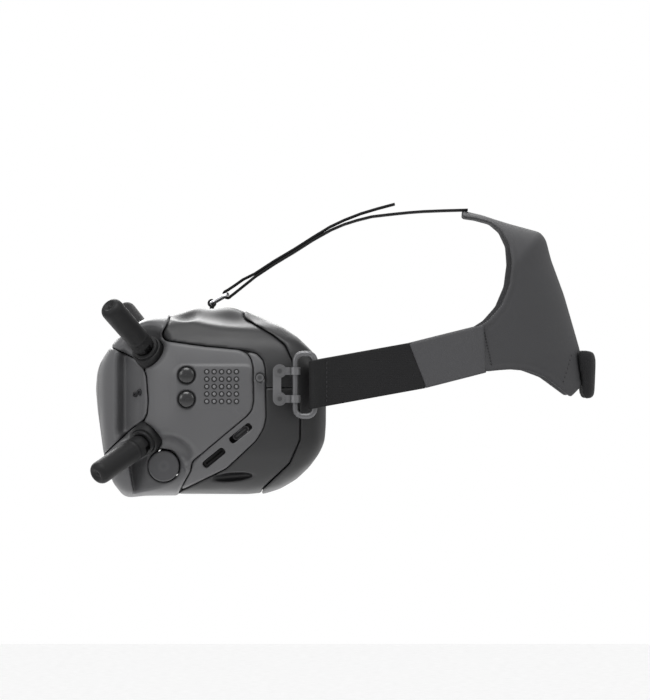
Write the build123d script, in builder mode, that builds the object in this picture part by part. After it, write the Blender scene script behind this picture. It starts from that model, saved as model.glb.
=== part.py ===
from build123d import *
import math
import os

os.makedirs("parts", exist_ok=True)

# First-person-view goggles with a three-point head strap.
# Frame: the wearer looks along -Y, +X is the wearer's left, +Z is up.
# Origin: middle of the face opening, level with the lens axes. Millimetres.

# ---- driving dimensions -------------------------------------------------
WALL = 2.4            # moulded shell thickness
SEAM = 0.15           # half of the gap between two shells
BODY_REACH = 140.0    # long enough to pass through the whole body
TAPER_X = 38.0        # side covers start this far from the middle
HOUSING_SEAM_Z = -1.0 # level of the joint between upper and lower housing

IPD = 64.0            # lens spacing at rest
BARREL_R = 22.0
BARREL_FRONT_Y = -66.0
BARREL_BACK_Y = -36.0
LENS_R = 19.0
LENS_EDGE_Y = BARREL_BACK_Y - 4.5
LENS_BULGE = 3.9
ROD_R = 1.5
ROD_Y = -57.0
ROD_Z = 26.0
FIT = 0.08            # radial clearance of a shaft in its hole

FACE_R = 140.0        # radius of the curve that fits round the face
FACE_CENTRE_Y = 124.0

BUTTON_R = 4.25
BUTTON_HOLE_R = 4.6
BUTTON_DOME = 1.8     # height of the domed top
KEY_Y = -74.5
KEY_UP_Z = 5.7
KEY_DOWN_Z = -7.0
GRID_PITCH = 3.92
GRID_Y = -56.0
GRID_Z = -0.3
LIGHT_PIPE_R = 1.4

RING_ROD_R = 1.5
RING_X = 89.5
RING_FRONT_Y = -17.1
RING_BACK_Y = -7.0
RING_TOP_Z = 17.0
RING_BOTTOM_Z = -15.8
RING_CORNER_R = 4.0
KNUCKLE_R = 2.7
BRACKET_SCREWS_Z = (7.9, -6.8)
BRACKET_SCREW_Y = -25.3

STUB_R = 6.2          # antenna stub
STUB_REACH = 33.0     # fold pin to the far end
STUB_END_R = 2.6
CUP_CLEARANCE = 0.35
CUP_DEPTH = 3.6       # rim of the collar's cup below the fold pin
COLLAR_R = 6.9
SEAT_R = 8.2
SEAT_HEIGHT = 3.0
PIVOT_HEIGHT = 8.4    # fold pin above the foot of the seat
TONGUE = 3.0          # thickness of the knuckle's tongue
PIN_R = 1.1

ELASTIC_WIDTH = 25.0
ELASTIC_THICK = 1.8

# ---- outlines ------------------------------------------------------------
# Side view (Y, Z), plan (X, Y) and front view (X, Z) of the whole body.
SIDE_VIEW = [
    (-106.5, -60.5), (-120, -39.5), (-124.8, -38), (-124.8, 2), (-116.5, 22.5), (-94, 38),
    (-67.7, 43.6), (-62.5, 40.2), (-56, 42.4), (-47.5, 40), (-15, 26), (-4, 13.8), (0, -3),
    (0.2, -19), (-4, -35.5), (-15, -49), (-36, -60.5),
]
HALF_PLAN = [
    (0, -124.5), (34, -123), (50, -116), (64, -102), (76, -93), (83, -82), (85, -60),
    (86, -40), (86, -22), (79, -8), (66, 0.5), (0, 0.5),
]
HALF_FRONT = [
    (0, 44.5), (46, 44.5), (66, 37), (80, 22), (87, 8), (87, -18), (80, -34), (68, -48),
    (56, -58), (48, -61), (0, -61),
]
# Where the shells part, seen from the side (Y, Z).
FRONT_COVER_EDGE = [
    (-130, 27), (-117.6, 21.6), (-102.5, 14.5), (-96, 8), (-95, -8), (-95.6, -16.3),
    (-104, -22.7), (-120.5, -38), (-130, -42),
]
COVER_TOP = [(-126, 50), (-84.3, 50), (-84.3, 34.3), (-88, 26.4), (-85.3, 23.8), (-66.3, 21.1), (-44, 18.8)]
COVER_BACK = [(-39.4, 10), (-39.2, -8.5), (-42.6, -15.9), (-71.6, -40.1), (-72.7, -45.4), (-78.5, -55.4)]
COVER_FOOT = [(-84, -66), (-114, -66), (-130, -46)]
STRIP_OUTER = [(-40, 17.6), (-33.1, 11), (-32.6, -16.9), (-37.9, -29), (-53.7, -43.8), (-78.9, -56.2)]
FACE_FRAME_EDGE = [
    (-44.7, 50), (-44.7, 35.9), (-22.5, 21.6), (-15.6, -7.5), (-14.5, -28.6), (-34.7, -55),
    (-38, -66), (12, -66), (12, 50),
]
# Rim of the cushion's opening, seen from behind (X, Z), and the nose notch.
HALF_EYE_RIM = [(0, 16), (36, 16.5), (52, 8), (56, -4), (52, -20), (42, -31), (0, -36)]
NOSE = [(-25, -70), (-21, -54), (-9, -27), (0, -19), (9, -27), (21, -54), (25, -70)]


def mirrored(half):
    """Closed outline from its +X half, whose ends lie on X = 0."""
    return half + [(-x, y) for x, y in reversed(half[1:-1])]


def closed_sketch(plane, points, grow=0.0):
    """Straight-sided outline on a plane, made larger or smaller by grow."""
    with BuildSketch(plane) as outline:
        with BuildLine():
            Polyline(*points, close=True)
        make_face()
        if grow:
            offset(amount=grow, kind=Kind.INTERSECTION)
    return outline.sketch


def add_body_solid(grow=0.0):
    """Add what the three views of the body share; grow < 0 gives its inside."""
    extrude(closed_sketch(Plane.YZ, SIDE_VIEW, grow), amount=BODY_REACH, both=True)
    extrude(closed_sketch(Plane.XY, mirrored(HALF_PLAN), grow), amount=BODY_REACH, both=True,
            mode=Mode.INTERSECT)
    front = closed_sketch(Plane.XZ, mirrored(HALF_FRONT), grow)
    extrude(front, amount=BODY_REACH, both=True, mode=Mode.INTERSECT)


def cut_face_curve(centre_y):
    """Cut the wearer's side to the curve of the face."""
    with BuildSketch(Plane.XY.offset(-BODY_REACH)) as face:
        with Locations((0, centre_y)):
            Circle(FACE_R)
    extrude(face.sketch, amount=2 * BODY_REACH, mode=Mode.SUBTRACT)


def side_region(points, grow, side, mode, near_x=TAPER_X):
    """Keep or cut the prism over a side-view outline on one side of the body."""
    plane = Plane.YZ.offset(side * (near_x - grow))
    extrude(closed_sketch(plane, points, grow), amount=side * BODY_REACH, mode=mode)


def full_region(points, grow, mode):
    """Keep or cut the prism over a side-view outline right across the body."""
    extrude(closed_sketch(Plane.YZ, points, grow), amount=BODY_REACH, both=True, mode=mode)


def slab(low, high, mode=Mode.ADD):
    """Box from its lowest to its highest corner."""
    size = [b - a for a, b in zip(low, high)]
    middle = [(a + b) / 2 for a, b in zip(low, high)]
    with Locations(tuple(middle)):
        Box(*size, mode=mode)


def rod(start, direction, radius, length, mode=Mode.ADD):
    """Round bar from a point along a direction."""
    with BuildSketch(Plane(origin=start, z_dir=direction)) as end:
        Circle(radius)
    extrude(end.sketch, amount=length, mode=mode)


SIDE_COVER = COVER_TOP + COVER_BACK + COVER_FOOT + list(reversed(FRONT_COVER_EDGE[1:-1]))
PORT_STRIP = [(-44, 18.8)] + STRIP_OUTER + list(reversed(COVER_BACK))
SIDE_AREA = COVER_TOP + STRIP_OUTER + COVER_FOOT + list(reversed(FRONT_COVER_EDGE[1:-1]))
FRONT_MIDDLE = [(-130, 60), (-94, 60), (-94, -70), (-130, -70)]
SIDES = {"left": 1, "right": -1}

# Places that are cut in the shells and filled by other pieces.
PAD_Y, PAD_Z, PAD_R, PAD_OUT_X = -87.0, -42.6, 8.2, 69.0
IPD_TRAVEL = 3.0
STICK_Y = -66.0
STICK_PIVOT_X, STICK_PIN_R = -80.0, 0.8
STICK_STEM_R = 1.6
YOKE_HALF, YOKE_GAP = 5.3, 3.8   # outside and inside half width of the stick's yoke
RECORD_Y, RECORD_Z = -50.0, 6.5
BACK_Y, BACK_Z = -50.0, -6.5
USB_MIDDLE, CARD_MIDDLE, SLOT_ANGLE = (-46.0, -25.0), (-60.2, -38.0), 39.0
STRIP_SCREW = (-35.8, 4.4)
JACK_MIDDLE, POWER_MIDDLE = (-47.5, -26.3), (-60.2, -38.0)

ANTENNA_FOOT = {"upper": (70.2, -95.0, 17.8), "lower": (69.6, -96.5, -28.0)}
ANTENNA_AXIS = {"upper": (0.72, -0.42, 0.55), "lower": (0.72, -0.47, -0.51)}
ANTENNA_REST = {"upper": (0.62, -0.50, 0.605), "lower": (0.62, -0.645, -0.445)}


def on_side(point, side):
    """Copy a left-hand point or direction to the other side if asked."""
    return Vector(point[0] * side, point[1], point[2])


def dome_point(half_width, rise):
    """Halfway point of a spherical cap: its distance from the axis and its height."""
    radius = (half_width ** 2 + rise ** 2) / (2 * rise)
    turn = math.asin(half_width / radius) / 2
    return radius * math.sin(turn), radius * math.cos(turn) - radius + rise


def cut_antenna_holes(side):
    """Cut the holes in which the two antenna seats of one side stand."""
    for place in ANTENNA_FOOT:
        foot = on_side(ANTENNA_FOOT[place], side)
        axis = on_side(ANTENNA_AXIS[place], side).normalized()
        rod(foot - axis * 8, axis, SEAT_R + 0.2, 30, mode=Mode.SUBTRACT)


# ---- body shells ------------------------------------------------------------
with BuildPart() as body_blank:
    add_body_solid()
with BuildPart() as body_cavity:
    add_body_solid(-WALL)

with BuildPart() as front_area:
    full_region(FRONT_COVER_EDGE, -SEAM, Mode.ADD)
    extrude(closed_sketch(Plane.YZ, FRONT_MIDDLE, -SEAM), amount=TAPER_X - SEAM, both=True)
with BuildPart() as front_cover:
    add(body_blank.part)
    add(body_cavity.part, mode=Mode.SUBTRACT)
    add(front_area.part, mode=Mode.INTERSECT)
    for slot_z in (33.5, 29.5):
        slab((-24, -118, slot_z), (24, -92, slot_z + 1.6), mode=Mode.SUBTRACT)
    for side in (1, -1):
        cut_antenna_holes(side)
front_cover.part.label = "front_cover"
export_step(front_cover.part, "parts/front_cover.step")

for side_name, side in SIDES.items():
    with BuildPart() as side_cover:
        add(body_blank.part)
        add(body_cavity.part, mode=Mode.SUBTRACT)
        side_region(SIDE_COVER, -SEAM, side, Mode.INTERSECT)
        # Finger hole for the lens slider.
        rod((side * 50, PAD_Y, PAD_Z), (side, 0, 0), PAD_R + 0.9, 60, mode=Mode.SUBTRACT)
        cut_antenna_holes(side)
        if side_name == "left":
            for key_z in (KEY_UP_Z, KEY_DOWN_Z):
                rod((70, KEY_Y, key_z), (1, 0, 0), BUTTON_HOLE_R, 30, mode=Mode.SUBTRACT)
            with BuildSketch(Plane.YZ.offset(70)) as dots:
                with Locations((GRID_Y, GRID_Z)):
                    with GridLocations(GRID_PITCH, GRID_PITCH, 5, 5):
                        Circle(LIGHT_PIPE_R + 0.05)
            extrude(dots.sketch, amount=30, mode=Mode.SUBTRACT)
        else:
            for key_y, key_z in ((RECORD_Y, RECORD_Z), (BACK_Y, BACK_Z)):
                rod((-70, key_y, key_z), (-1, 0, 0), BUTTON_HOLE_R, 30, mode=Mode.SUBTRACT)
            rod((-70, STICK_Y, 0), (-1, 0, 0), 7.5, 30, mode=Mode.SUBTRACT)
    side_cover.part.label = "side_cover_" + side_name
    export_step(side_cover.part, "parts/side_cover_" + side_name + ".step")

    with BuildPart() as port_strip:
        add(body_blank.part)
        add(body_cavity.part, mode=Mode.SUBTRACT)
        side_region(PORT_STRIP, -SEAM, side, Mode.INTERSECT)
        rod((side * 70, *STRIP_SCREW), (side, 0, 0), 1.3, 30, mode=Mode.SUBTRACT)
        if side_name == "left":
            with BuildSketch(Plane.YZ.offset(50)) as slots:
                with Locations(USB_MIDDLE, CARD_MIDDLE):
                    SlotOverall(14.0, 3.6, rotation=SLOT_ANGLE)
            extrude(slots.sketch, amount=50, mode=Mode.SUBTRACT)
        else:
            rod((-50, *JACK_MIDDLE), (-1, 0, 0), 3.05, 50, mode=Mode.SUBTRACT)
            rod((-50, *POWER_MIDDLE), (-1, 0, 0), 4.1, 50, mode=Mode.SUBTRACT)
    port_strip.part.label = "port_strip_" + side_name
    export_step(port_strip.part, "parts/port_strip_" + side_name + ".step")

for half_name, up in {"upper": 1, "lower": -1}.items():
    with BuildPart() as rear_housing:
        add(body_blank.part)
        add(body_cavity.part, mode=Mode.SUBTRACT)
        seam_z = HOUSING_SEAM_Z + up * SEAM
        slab((-150, -150, min(seam_z, up * 100)), (150, 150, max(seam_z, up * 100)), mode=Mode.INTERSECT)
        full_region(FACE_FRAME_EDGE, SEAM, Mode.SUBTRACT)
        full_region(FRONT_COVER_EDGE, SEAM, Mode.SUBTRACT)
        extrude(closed_sketch(Plane.YZ, FRONT_MIDDLE, SEAM), amount=TAPER_X + SEAM, both=True,
                mode=Mode.SUBTRACT)
        for side in (1, -1):
            side_region(SIDE_AREA, SEAM, side, Mode.SUBTRACT)
            screw_z = BRACKET_SCREWS_Z[0] if up > 0 else BRACKET_SCREWS_Z[1]
            rod((side * 75, BRACKET_SCREW_Y, screw_z), (side, 0, 0), 1.4, 30, mode=Mode.SUBTRACT)
    rear_housing.part.label = "rear_housing_" + half_name
    export_step(rear_housing.part, "parts/rear_housing_" + half_name + ".step")

# Hard frame that surrounds the eyes, with a notch for the nose.
with BuildPart() as face_frame:
    add(body_blank.part)
    add(body_cavity.part, mode=Mode.SUBTRACT)
    full_region(FACE_FRAME_EDGE, -SEAM, Mode.INTERSECT)
    cut_face_curve(FACE_CENTRE_Y)
    extrude(closed_sketch(Plane.XZ.offset(-20), NOSE), amount=62, mode=Mode.SUBTRACT)
face_frame.part.label = "face_frame"
export_step(face_frame.part, "parts/face_frame.step")

# Cushion ring that lies against the face.
FOAM_PROUD = 4.0
with BuildPart() as face_foam:
    add_body_solid(-WALL - 0.4)
    extrude(closed_sketch(Plane.XZ.offset(-20), mirrored(HALF_EYE_RIM)), amount=62, mode=Mode.SUBTRACT)
    cut_face_curve(FACE_CENTRE_Y + FOAM_PROUD)
    with BuildSketch(Plane.XY.offset(-BODY_REACH)) as foam_back:
        with Locations((0, FACE_CENTRE_Y - 7)):
            Circle(FACE_R)
    extrude(foam_back.sketch, amount=2 * BODY_REACH, mode=Mode.INTERSECT)
    extrude(closed_sketch(Plane.XZ.offset(-20), NOSE, 1.0), amount=62, mode=Mode.SUBTRACT)
face_foam.part.label = "face_foam"
export_step(face_foam.part, "parts/face_foam.step")

# ---- optics -------------------------------------------------------------------
CARRIER_FRONT_Y, CARRIER_BACK_Y = -50.0, -47.6
CARRIER_HALF = 65.0
POST_X = 61.5
with BuildPart() as optics_carrier:
    add_body_solid(-WALL - 0.2)
    slab((-CARRIER_HALF, CARRIER_FRONT_Y, -100), (CARRIER_HALF, CARRIER_BACK_Y, 100), mode=Mode.INTERSECT)
    with BuildSketch(Plane.XZ.offset(-CARRIER_BACK_Y - 10)) as eye_slots:
        with Locations((IPD / 2, 0), (-IPD / 2, 0)):
            SlotOverall(2 * (BARREL_R + 0.5 + IPD_TRAVEL), 2 * (BARREL_R + 0.5))
    extrude(eye_slots.sketch, amount=20, mode=Mode.SUBTRACT)
    for post_x in (-POST_X, 0, POST_X):
        for post_z in (ROD_Z, -ROD_Z):
            slab((post_x - 3, ROD_Y - 4, post_z - 4), (post_x + 3, CARRIER_FRONT_Y, post_z + 4))
    for rod_z in (ROD_Z, -ROD_Z):
        rod((-80, ROD_Y, rod_z), (1, 0, 0), ROD_R + FIT, 160, mode=Mode.SUBTRACT)
optics_carrier.part.label = "optics_carrier"
export_step(optics_carrier.part, "parts/optics_carrier.step")

with BuildPart() as guide_rods:
    for rod_z in (ROD_Z, -ROD_Z):
        rod((-POST_X - 3, ROD_Y, rod_z), (1, 0, 0), ROD_R, 2 * POST_X + 6)
guide_rods.part.label = "guide_rods"
export_step(guide_rods.part, "parts/guide_rods.step")

for side_name, side in SIDES.items():
    eye_x = side * IPD / 2
    with BuildPart() as lens_barrel:
        rod((eye_x, BARREL_FRONT_Y, 0), (0, 1, 0), BARREL_R, BARREL_BACK_Y - BARREL_FRONT_Y)
        for lug_z in (ROD_Z, -ROD_Z):
            inner_z, outer_z = sorted((lug_z * 0.77, lug_z * 1.135))
            slab((eye_x - 6, ROD_Y - 3.5, inner_z), (eye_x + 6, ROD_Y + 3.5, outer_z))
            rod((eye_x - 10, ROD_Y, lug_z), (1, 0, 0), ROD_R + FIT, 20, mode=Mode.SUBTRACT)
        # Arm that carries the slider pad.
        slab((eye_x - 4, ROD_Y - 3.5, -44), (eye_x + 4, ROD_Y + 3.5, -ROD_Z - 3.5))
        slab((eye_x - 4, PAD_Y - 3, -44), (eye_x + 4, ROD_Y + 3.5, -41))
        outer_x = side * (PAD_OUT_X - 5.5)
        slab((min(eye_x, outer_x), PAD_Y - 3, -44), (max(eye_x, outer_x), PAD_Y + 3, -41))
        # Stepped bore: a seat for the lens, then the light path to the display.
        rod((eye_x, BARREL_BACK_Y, 0), (0, -1, 0), LENS_R + 0.05, 9, mode=Mode.SUBTRACT)
        rod((eye_x, BARREL_BACK_Y, 0), (0, -1, 0), LENS_R - 1.5, 29, mode=Mode.SUBTRACT)
        slab((eye_x - 14, BARREL_FRONT_Y - 1, -12), (eye_x + 14, BARREL_FRONT_Y + 3, 12), mode=Mode.SUBTRACT)
    lens_barrel.part.label = "lens_barrel_" + side_name
    export_step(lens_barrel.part, "parts/lens_barrel_" + side_name + ".step")

    with BuildPart() as lens:
        with BuildSketch(Plane.XY) as lens_half:
            with BuildLine():
                Polyline((eye_x, LENS_EDGE_Y - 4), (eye_x + LENS_R, LENS_EDGE_Y - 2.5),
                         (eye_x + LENS_R, LENS_EDGE_Y))
                across, rise = dome_point(LENS_R, LENS_BULGE)
                ThreePointArc((eye_x + LENS_R, LENS_EDGE_Y), (eye_x + across, LENS_EDGE_Y + rise),
                              (eye_x, LENS_EDGE_Y + LENS_BULGE))
                Line((eye_x, LENS_EDGE_Y + LENS_BULGE), (eye_x, LENS_EDGE_Y - 4))
            make_face()
        revolve(axis=Axis((eye_x, 0, 0), (0, 1, 0)))
    lens.part.label = "lens_" + side_name
    export_step(lens.part, "parts/lens_" + side_name + ".step")

    with BuildPart() as display_panel:
        slab((eye_x - 16, BARREL_FRONT_Y - 2.2, -14), (eye_x + 16, BARREL_FRONT_Y, 14))
        slab((eye_x - 6, BARREL_FRONT_Y - 3.6, -20), (eye_x + 6, BARREL_FRONT_Y - 2.2, 6))
    display_panel.part.label = "display_panel_" + side_name
    export_step(display_panel.part, "parts/display_panel_" + side_name + ".step")

    with BuildPart() as ipd_pad:
        rod((side * (PAD_OUT_X - 5.5), PAD_Y, PAD_Z), (side, 0, 0), PAD_R, 5.5)
        rim = ipd_pad.faces().sort_by(Axis.X)[-1 if side > 0 else 0].edges()
        fillet(rim, 1.2)
    ipd_pad.part.label = "ipd_pad_" + side_name
    export_step(ipd_pad.part, "parts/ipd_pad_" + side_name + ".step")

# ---- electronics --------------------------------------------------------------
BOARD_Y = -94.0
with BuildPart() as main_board:
    slab((-46, BOARD_Y, -30), (46, BOARD_Y + 1.6, 26))
    for chip_x, chip_z, chip_size in ((-18, 6, 16), (10, 8, 14), (28, -12, 10), (-4, -16, 9), (-32, -14, 8)):
        slab((chip_x, BOARD_Y + 1.6, chip_z - chip_size / 2),
             (chip_x + chip_size, BOARD_Y + 3.0, chip_z + chip_size / 2))
main_board.part.label = "main_board"
export_step(main_board.part, "parts/main_board.step")

FAN_Y = -114.0
FAN_Z = -2.0
FAN_DEPTH = 11.0
with BuildPart() as fan_housing:
    slab((-21, FAN_Y, FAN_Z - 21), (21, FAN_Y + FAN_DEPTH, FAN_Z + 21))
    rod((0, FAN_Y, FAN_Z), (0, 1, 0), 19.2, FAN_DEPTH + 5, mode=Mode.SUBTRACT)
    slab((-19.6, FAN_Y + FAN_DEPTH - 1.5, FAN_Z - 2), (19.6, FAN_Y + FAN_DEPTH, FAN_Z + 2))
    slab((-2, FAN_Y + FAN_DEPTH - 1.5, FAN_Z - 19.6), (2, FAN_Y + FAN_DEPTH, FAN_Z + 19.6))
    rod((0, FAN_Y + FAN_DEPTH - 1.5, FAN_Z), (0, 1, 0), 6, 1.5)
    rod((0, FAN_Y + 2.2, FAN_Z), (0, 1, 0), 1.0, FAN_DEPTH - 2.5)
fan_housing.part.label = "fan_housing"
export_step(fan_housing.part, "parts/fan_housing.step")

with BuildPart() as fan_rotor:
    rod((0, FAN_Y + 1.6, FAN_Z), (0, 1, 0), 7.5, 7.4)
    for blade in range(9):
        turn = math.radians(blade * 40)
        blade_plane = Plane(origin=(0, FAN_Y + 5.3, FAN_Z), z_dir=(math.cos(turn), 0, math.sin(turn)),
                            x_dir=(0, 1, 0))
        with BuildSketch(blade_plane.offset(6.5)) as blade_end:
            Rectangle(6.6, 1.1, rotation=28)
        extrude(blade_end.sketch, amount=11.5)
    rod((0, FAN_Y + 1.0, FAN_Z), (0, 1, 0), 1.0 + FIT, 12, mode=Mode.SUBTRACT)
fan_rotor.part.label = "fan_rotor"
export_step(fan_rotor.part, "parts/fan_rotor.step")

BUTTON_FLANGE_X = 79.5
with BuildPart() as key_boards:
    for side in (1, -1):
        slab((min(side * 76.4, side * 78), -80, -12), (max(side * 76.4, side * 78), -42, 12))
    for key_z in (KEY_UP_Z, KEY_DOWN_Z):
        slab((78, KEY_Y - 2.5, key_z - 2.5), (78.6, KEY_Y + 2.5, key_z + 2.5))
    for key_y, key_z in ((RECORD_Y, RECORD_Z), (BACK_Y, BACK_Z)):
        slab((-78.6, key_y - 2.5, key_z - 2.5), (-78, key_y + 2.5, key_z + 2.5))
    # Posts that carry the stick's yoke, and a well under its plunger.
    for post_z in (-7.6, 6.2):
        slab((STICK_PIVOT_X - 1.4, STICK_Y - 2, post_z), (-78, STICK_Y + 2, post_z + 1.4))
    rod((STICK_PIVOT_X, STICK_Y, -10), (0, 0, 1), STICK_PIN_R + FIT, 20, mode=Mode.SUBTRACT)
    rod((-70, STICK_Y, 0), (-1, 0, 0), 5.0, 9, mode=Mode.SUBTRACT)
key_boards.part.label = "key_boards"
export_step(key_boards.part, "parts/key_boards.step")

with BuildPart() as channel_display:
    slab((80.2, GRID_Y - 9.5, GRID_Z - 9.5), (81.2, GRID_Y + 9.5, GRID_Z + 9.5))
    with BuildSketch(Plane.YZ.offset(81)) as pipes:
        with Locations((GRID_Y, GRID_Z)):
            with GridLocations(GRID_PITCH, GRID_PITCH, 5, 5):
                Circle(LIGHT_PIPE_R)
    extrude(pipes.sketch, amount=4.2)
channel_display.part.label = "channel_display"
export_step(channel_display.part, "parts/channel_display.step")

BUTTONS = {
    "button_up": (1, KEY_Y, KEY_UP_Z, 83.9), "button_down": (1, KEY_Y, KEY_DOWN_Z, 83.9),
    "button_record": (-1, RECORD_Y, RECORD_Z, 85.7), "button_back": (-1, BACK_Y, BACK_Z, 85.7),
}
for button_name, (side, key_y, key_z, cap_x) in BUTTONS.items():
    with BuildPart() as button:
        rod((side * BUTTON_FLANGE_X, key_y, key_z), (side, 0, 0), BUTTON_R + 0.9, 0.7)
        with BuildSketch(Plane.XZ.offset(-key_y)) as cap_half:
            with BuildLine():
                Polyline((side * BUTTON_FLANGE_X, key_z), (side * BUTTON_FLANGE_X, key_z + BUTTON_R),
                         (side * cap_x, key_z + BUTTON_R))
                across, rise = dome_point(BUTTON_R, BUTTON_DOME)
                ThreePointArc((side * cap_x, key_z + BUTTON_R), (side * (cap_x + rise), key_z + across),
                              (side * (cap_x + BUTTON_DOME), key_z))
                Line((side * (cap_x + BUTTON_DOME), key_z), (side * BUTTON_FLANGE_X, key_z))
            make_face()
        revolve(axis=Axis((0, key_y, key_z), (1, 0, 0)))
    button.part.label = button_name
    export_step(button.part, "parts/" + button_name + ".step")

# Five-way stick: a yoke that rocks about Z, a sleeve that tilts across it, and
# a cap whose stem slides in the sleeve.
with BuildPart() as stick_yoke:
    slab((STICK_PIVOT_X - 1, STICK_Y - YOKE_HALF, -YOKE_HALF),
         (STICK_PIVOT_X + 1, STICK_Y + YOKE_HALF, YOKE_HALF))
    slab((STICK_PIVOT_X - 3, STICK_Y - YOKE_GAP, -YOKE_GAP),
         (STICK_PIVOT_X + 3, STICK_Y + YOKE_GAP, YOKE_GAP), mode=Mode.SUBTRACT)
    rod((STICK_PIVOT_X, STICK_Y, 5), (0, 0, 1), STICK_PIN_R, 2.4)
    rod((STICK_PIVOT_X, STICK_Y, -5), (0, 0, -1), STICK_PIN_R, 2.4)
    rod((STICK_PIVOT_X, STICK_Y - 10, 0), (0, 1, 0), STICK_PIN_R + FIT - 0.02, 20, mode=Mode.SUBTRACT)
stick_yoke.part.label = "stick_yoke"
export_step(stick_yoke.part, "parts/stick_yoke.step")

with BuildPart() as stick_sleeve:
    rod((STICK_PIVOT_X + 1.6, STICK_Y, 0), (-1, 0, 0), 2.9, 4.2)
    rod((STICK_PIVOT_X, STICK_Y - 5.2, 0), (0, 1, 0), STICK_PIN_R - 0.02, 10.4)
    rod((STICK_PIVOT_X + 5, STICK_Y, 0), (-1, 0, 0), STICK_STEM_R + FIT, 12, mode=Mode.SUBTRACT)
stick_sleeve.part.label = "stick_sleeve"
export_step(stick_sleeve.part, "parts/stick_sleeve.step")

with BuildPart() as stick_cap:
    rod((STICK_PIVOT_X + 1.2, STICK_Y, 0), (-1, 0, 0), STICK_STEM_R, 5.4)
    rod((STICK_PIVOT_X - 4.0, STICK_Y, 0), (-1, 0, 0), 5.6, 3.6)
    rim = stick_cap.faces().sort_by(Axis.X)[0].edges()
    fillet(rim, 1.2)
stick_cap.part.label = "stick_cap"
export_step(stick_cap.part, "parts/stick_cap.step")

slot_turn = math.radians(SLOT_ANGLE)
slot_along = (0, math.cos(slot_turn), math.sin(slot_turn))
with BuildPart() as usb_port:
    with BuildSketch(Plane(origin=(66, *USB_MIDDLE), z_dir=(1, 0, 0), x_dir=slot_along)) as shell:
        SlotOverall(9.6, 3.2)
    extrude(shell.sketch, amount=9)
    with BuildSketch(Plane(origin=(68, *USB_MIDDLE), z_dir=(1, 0, 0), x_dir=slot_along)) as mouth:
        SlotOverall(8.9, 2.5)
    extrude(mouth.sketch, amount=9, mode=Mode.SUBTRACT)
    with BuildSketch(Plane(origin=(68, *USB_MIDDLE), z_dir=(1, 0, 0), x_dir=slot_along)) as tongue:
        Rectangle(6.7, 0.7)
    extrude(tongue.sketch, amount=6)
usb_port.part.label = "usb_port"
export_step(usb_port.part, "parts/usb_port.step")

with BuildPart() as card_slot:
    with BuildSketch(Plane(origin=(58, *CARD_MIDDLE), z_dir=(1, 0, 0), x_dir=slot_along)) as cage:
        Rectangle(13, 3.0)
    extrude(cage.sketch, amount=11.0)
    with BuildSketch(Plane(origin=(60, *CARD_MIDDLE), z_dir=(1, 0, 0), x_dir=slot_along)) as mouth:
        Rectangle(11.2, 1.0)
    extrude(mouth.sketch, amount=13, mode=Mode.SUBTRACT)
card_slot.part.label = "card_slot"
export_step(card_slot.part, "parts/card_slot.step")

JACK_BORE_R, JACK_DEPTH, JACK_FACE_X = 1.8, 12.0, -81.5
with BuildPart() as audio_jack:
    rod((JACK_FACE_X, *JACK_MIDDLE), (1, 0, 0), 3.0, JACK_DEPTH + 2)
    rod((JACK_FACE_X, *JACK_MIDDLE), (1, 0, 0), JACK_BORE_R, JACK_DEPTH, mode=Mode.SUBTRACT)
audio_jack.part.label = "audio_jack"
export_step(audio_jack.part, "parts/audio_jack.step")

with BuildPart() as power_jack:
    rod((-76, *POWER_MIDDLE), (1, 0, 0), 4.0, 11)
    rod((-76, *POWER_MIDDLE), (1, 0, 0), 2.8, 9.5, mode=Mode.SUBTRACT)
    rod((-77, *POWER_MIDDLE), (1, 0, 0), 1.0, 11)
power_jack.part.label = "power_jack"
export_step(power_jack.part, "parts/power_jack.step")

# ---- fasteners -------------------------------------------------------------------
with BuildPart() as cover_screws:
    for side in (1, -1):
        rod((side * 86.2, *STRIP_SCREW), (side, 0, 0), 2.1, 0.9)
        rod((side * 80, *STRIP_SCREW), (side, 0, 0), 1.2, 6.4)
        with BuildSketch(Plane(origin=(side * 87.2, *STRIP_SCREW), z_dir=(side, 0, 0))) as socket:
            RegularPolygon(1.1, 6)
        extrude(socket.sketch, amount=-0.8, mode=Mode.SUBTRACT)
cover_screws.part.label = "cover_screws"
export_step(cover_screws.part, "parts/cover_screws.step")

with BuildPart() as bracket_screws:
    for side in (1, -1):
        for screw_z in BRACKET_SCREWS_Z:
            rod((side * 88.1, BRACKET_SCREW_Y, screw_z), (side, 0, 0), 2.6, 1.3)
            rod((side * 82, BRACKET_SCREW_Y, screw_z), (side, 0, 0), 1.2, 6.4)
            top = Plane(origin=(side * 89.5, BRACKET_SCREW_Y, screw_z), z_dir=(side, 0, 0))
            with BuildSketch(top) as socket:
                RegularPolygon(1.3, 6)
            extrude(socket.sketch, amount=-1.1, mode=Mode.SUBTRACT)
bracket_screws.part.label = "bracket_screws"
export_step(bracket_screws.part, "parts/bracket_screws.step")

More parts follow.
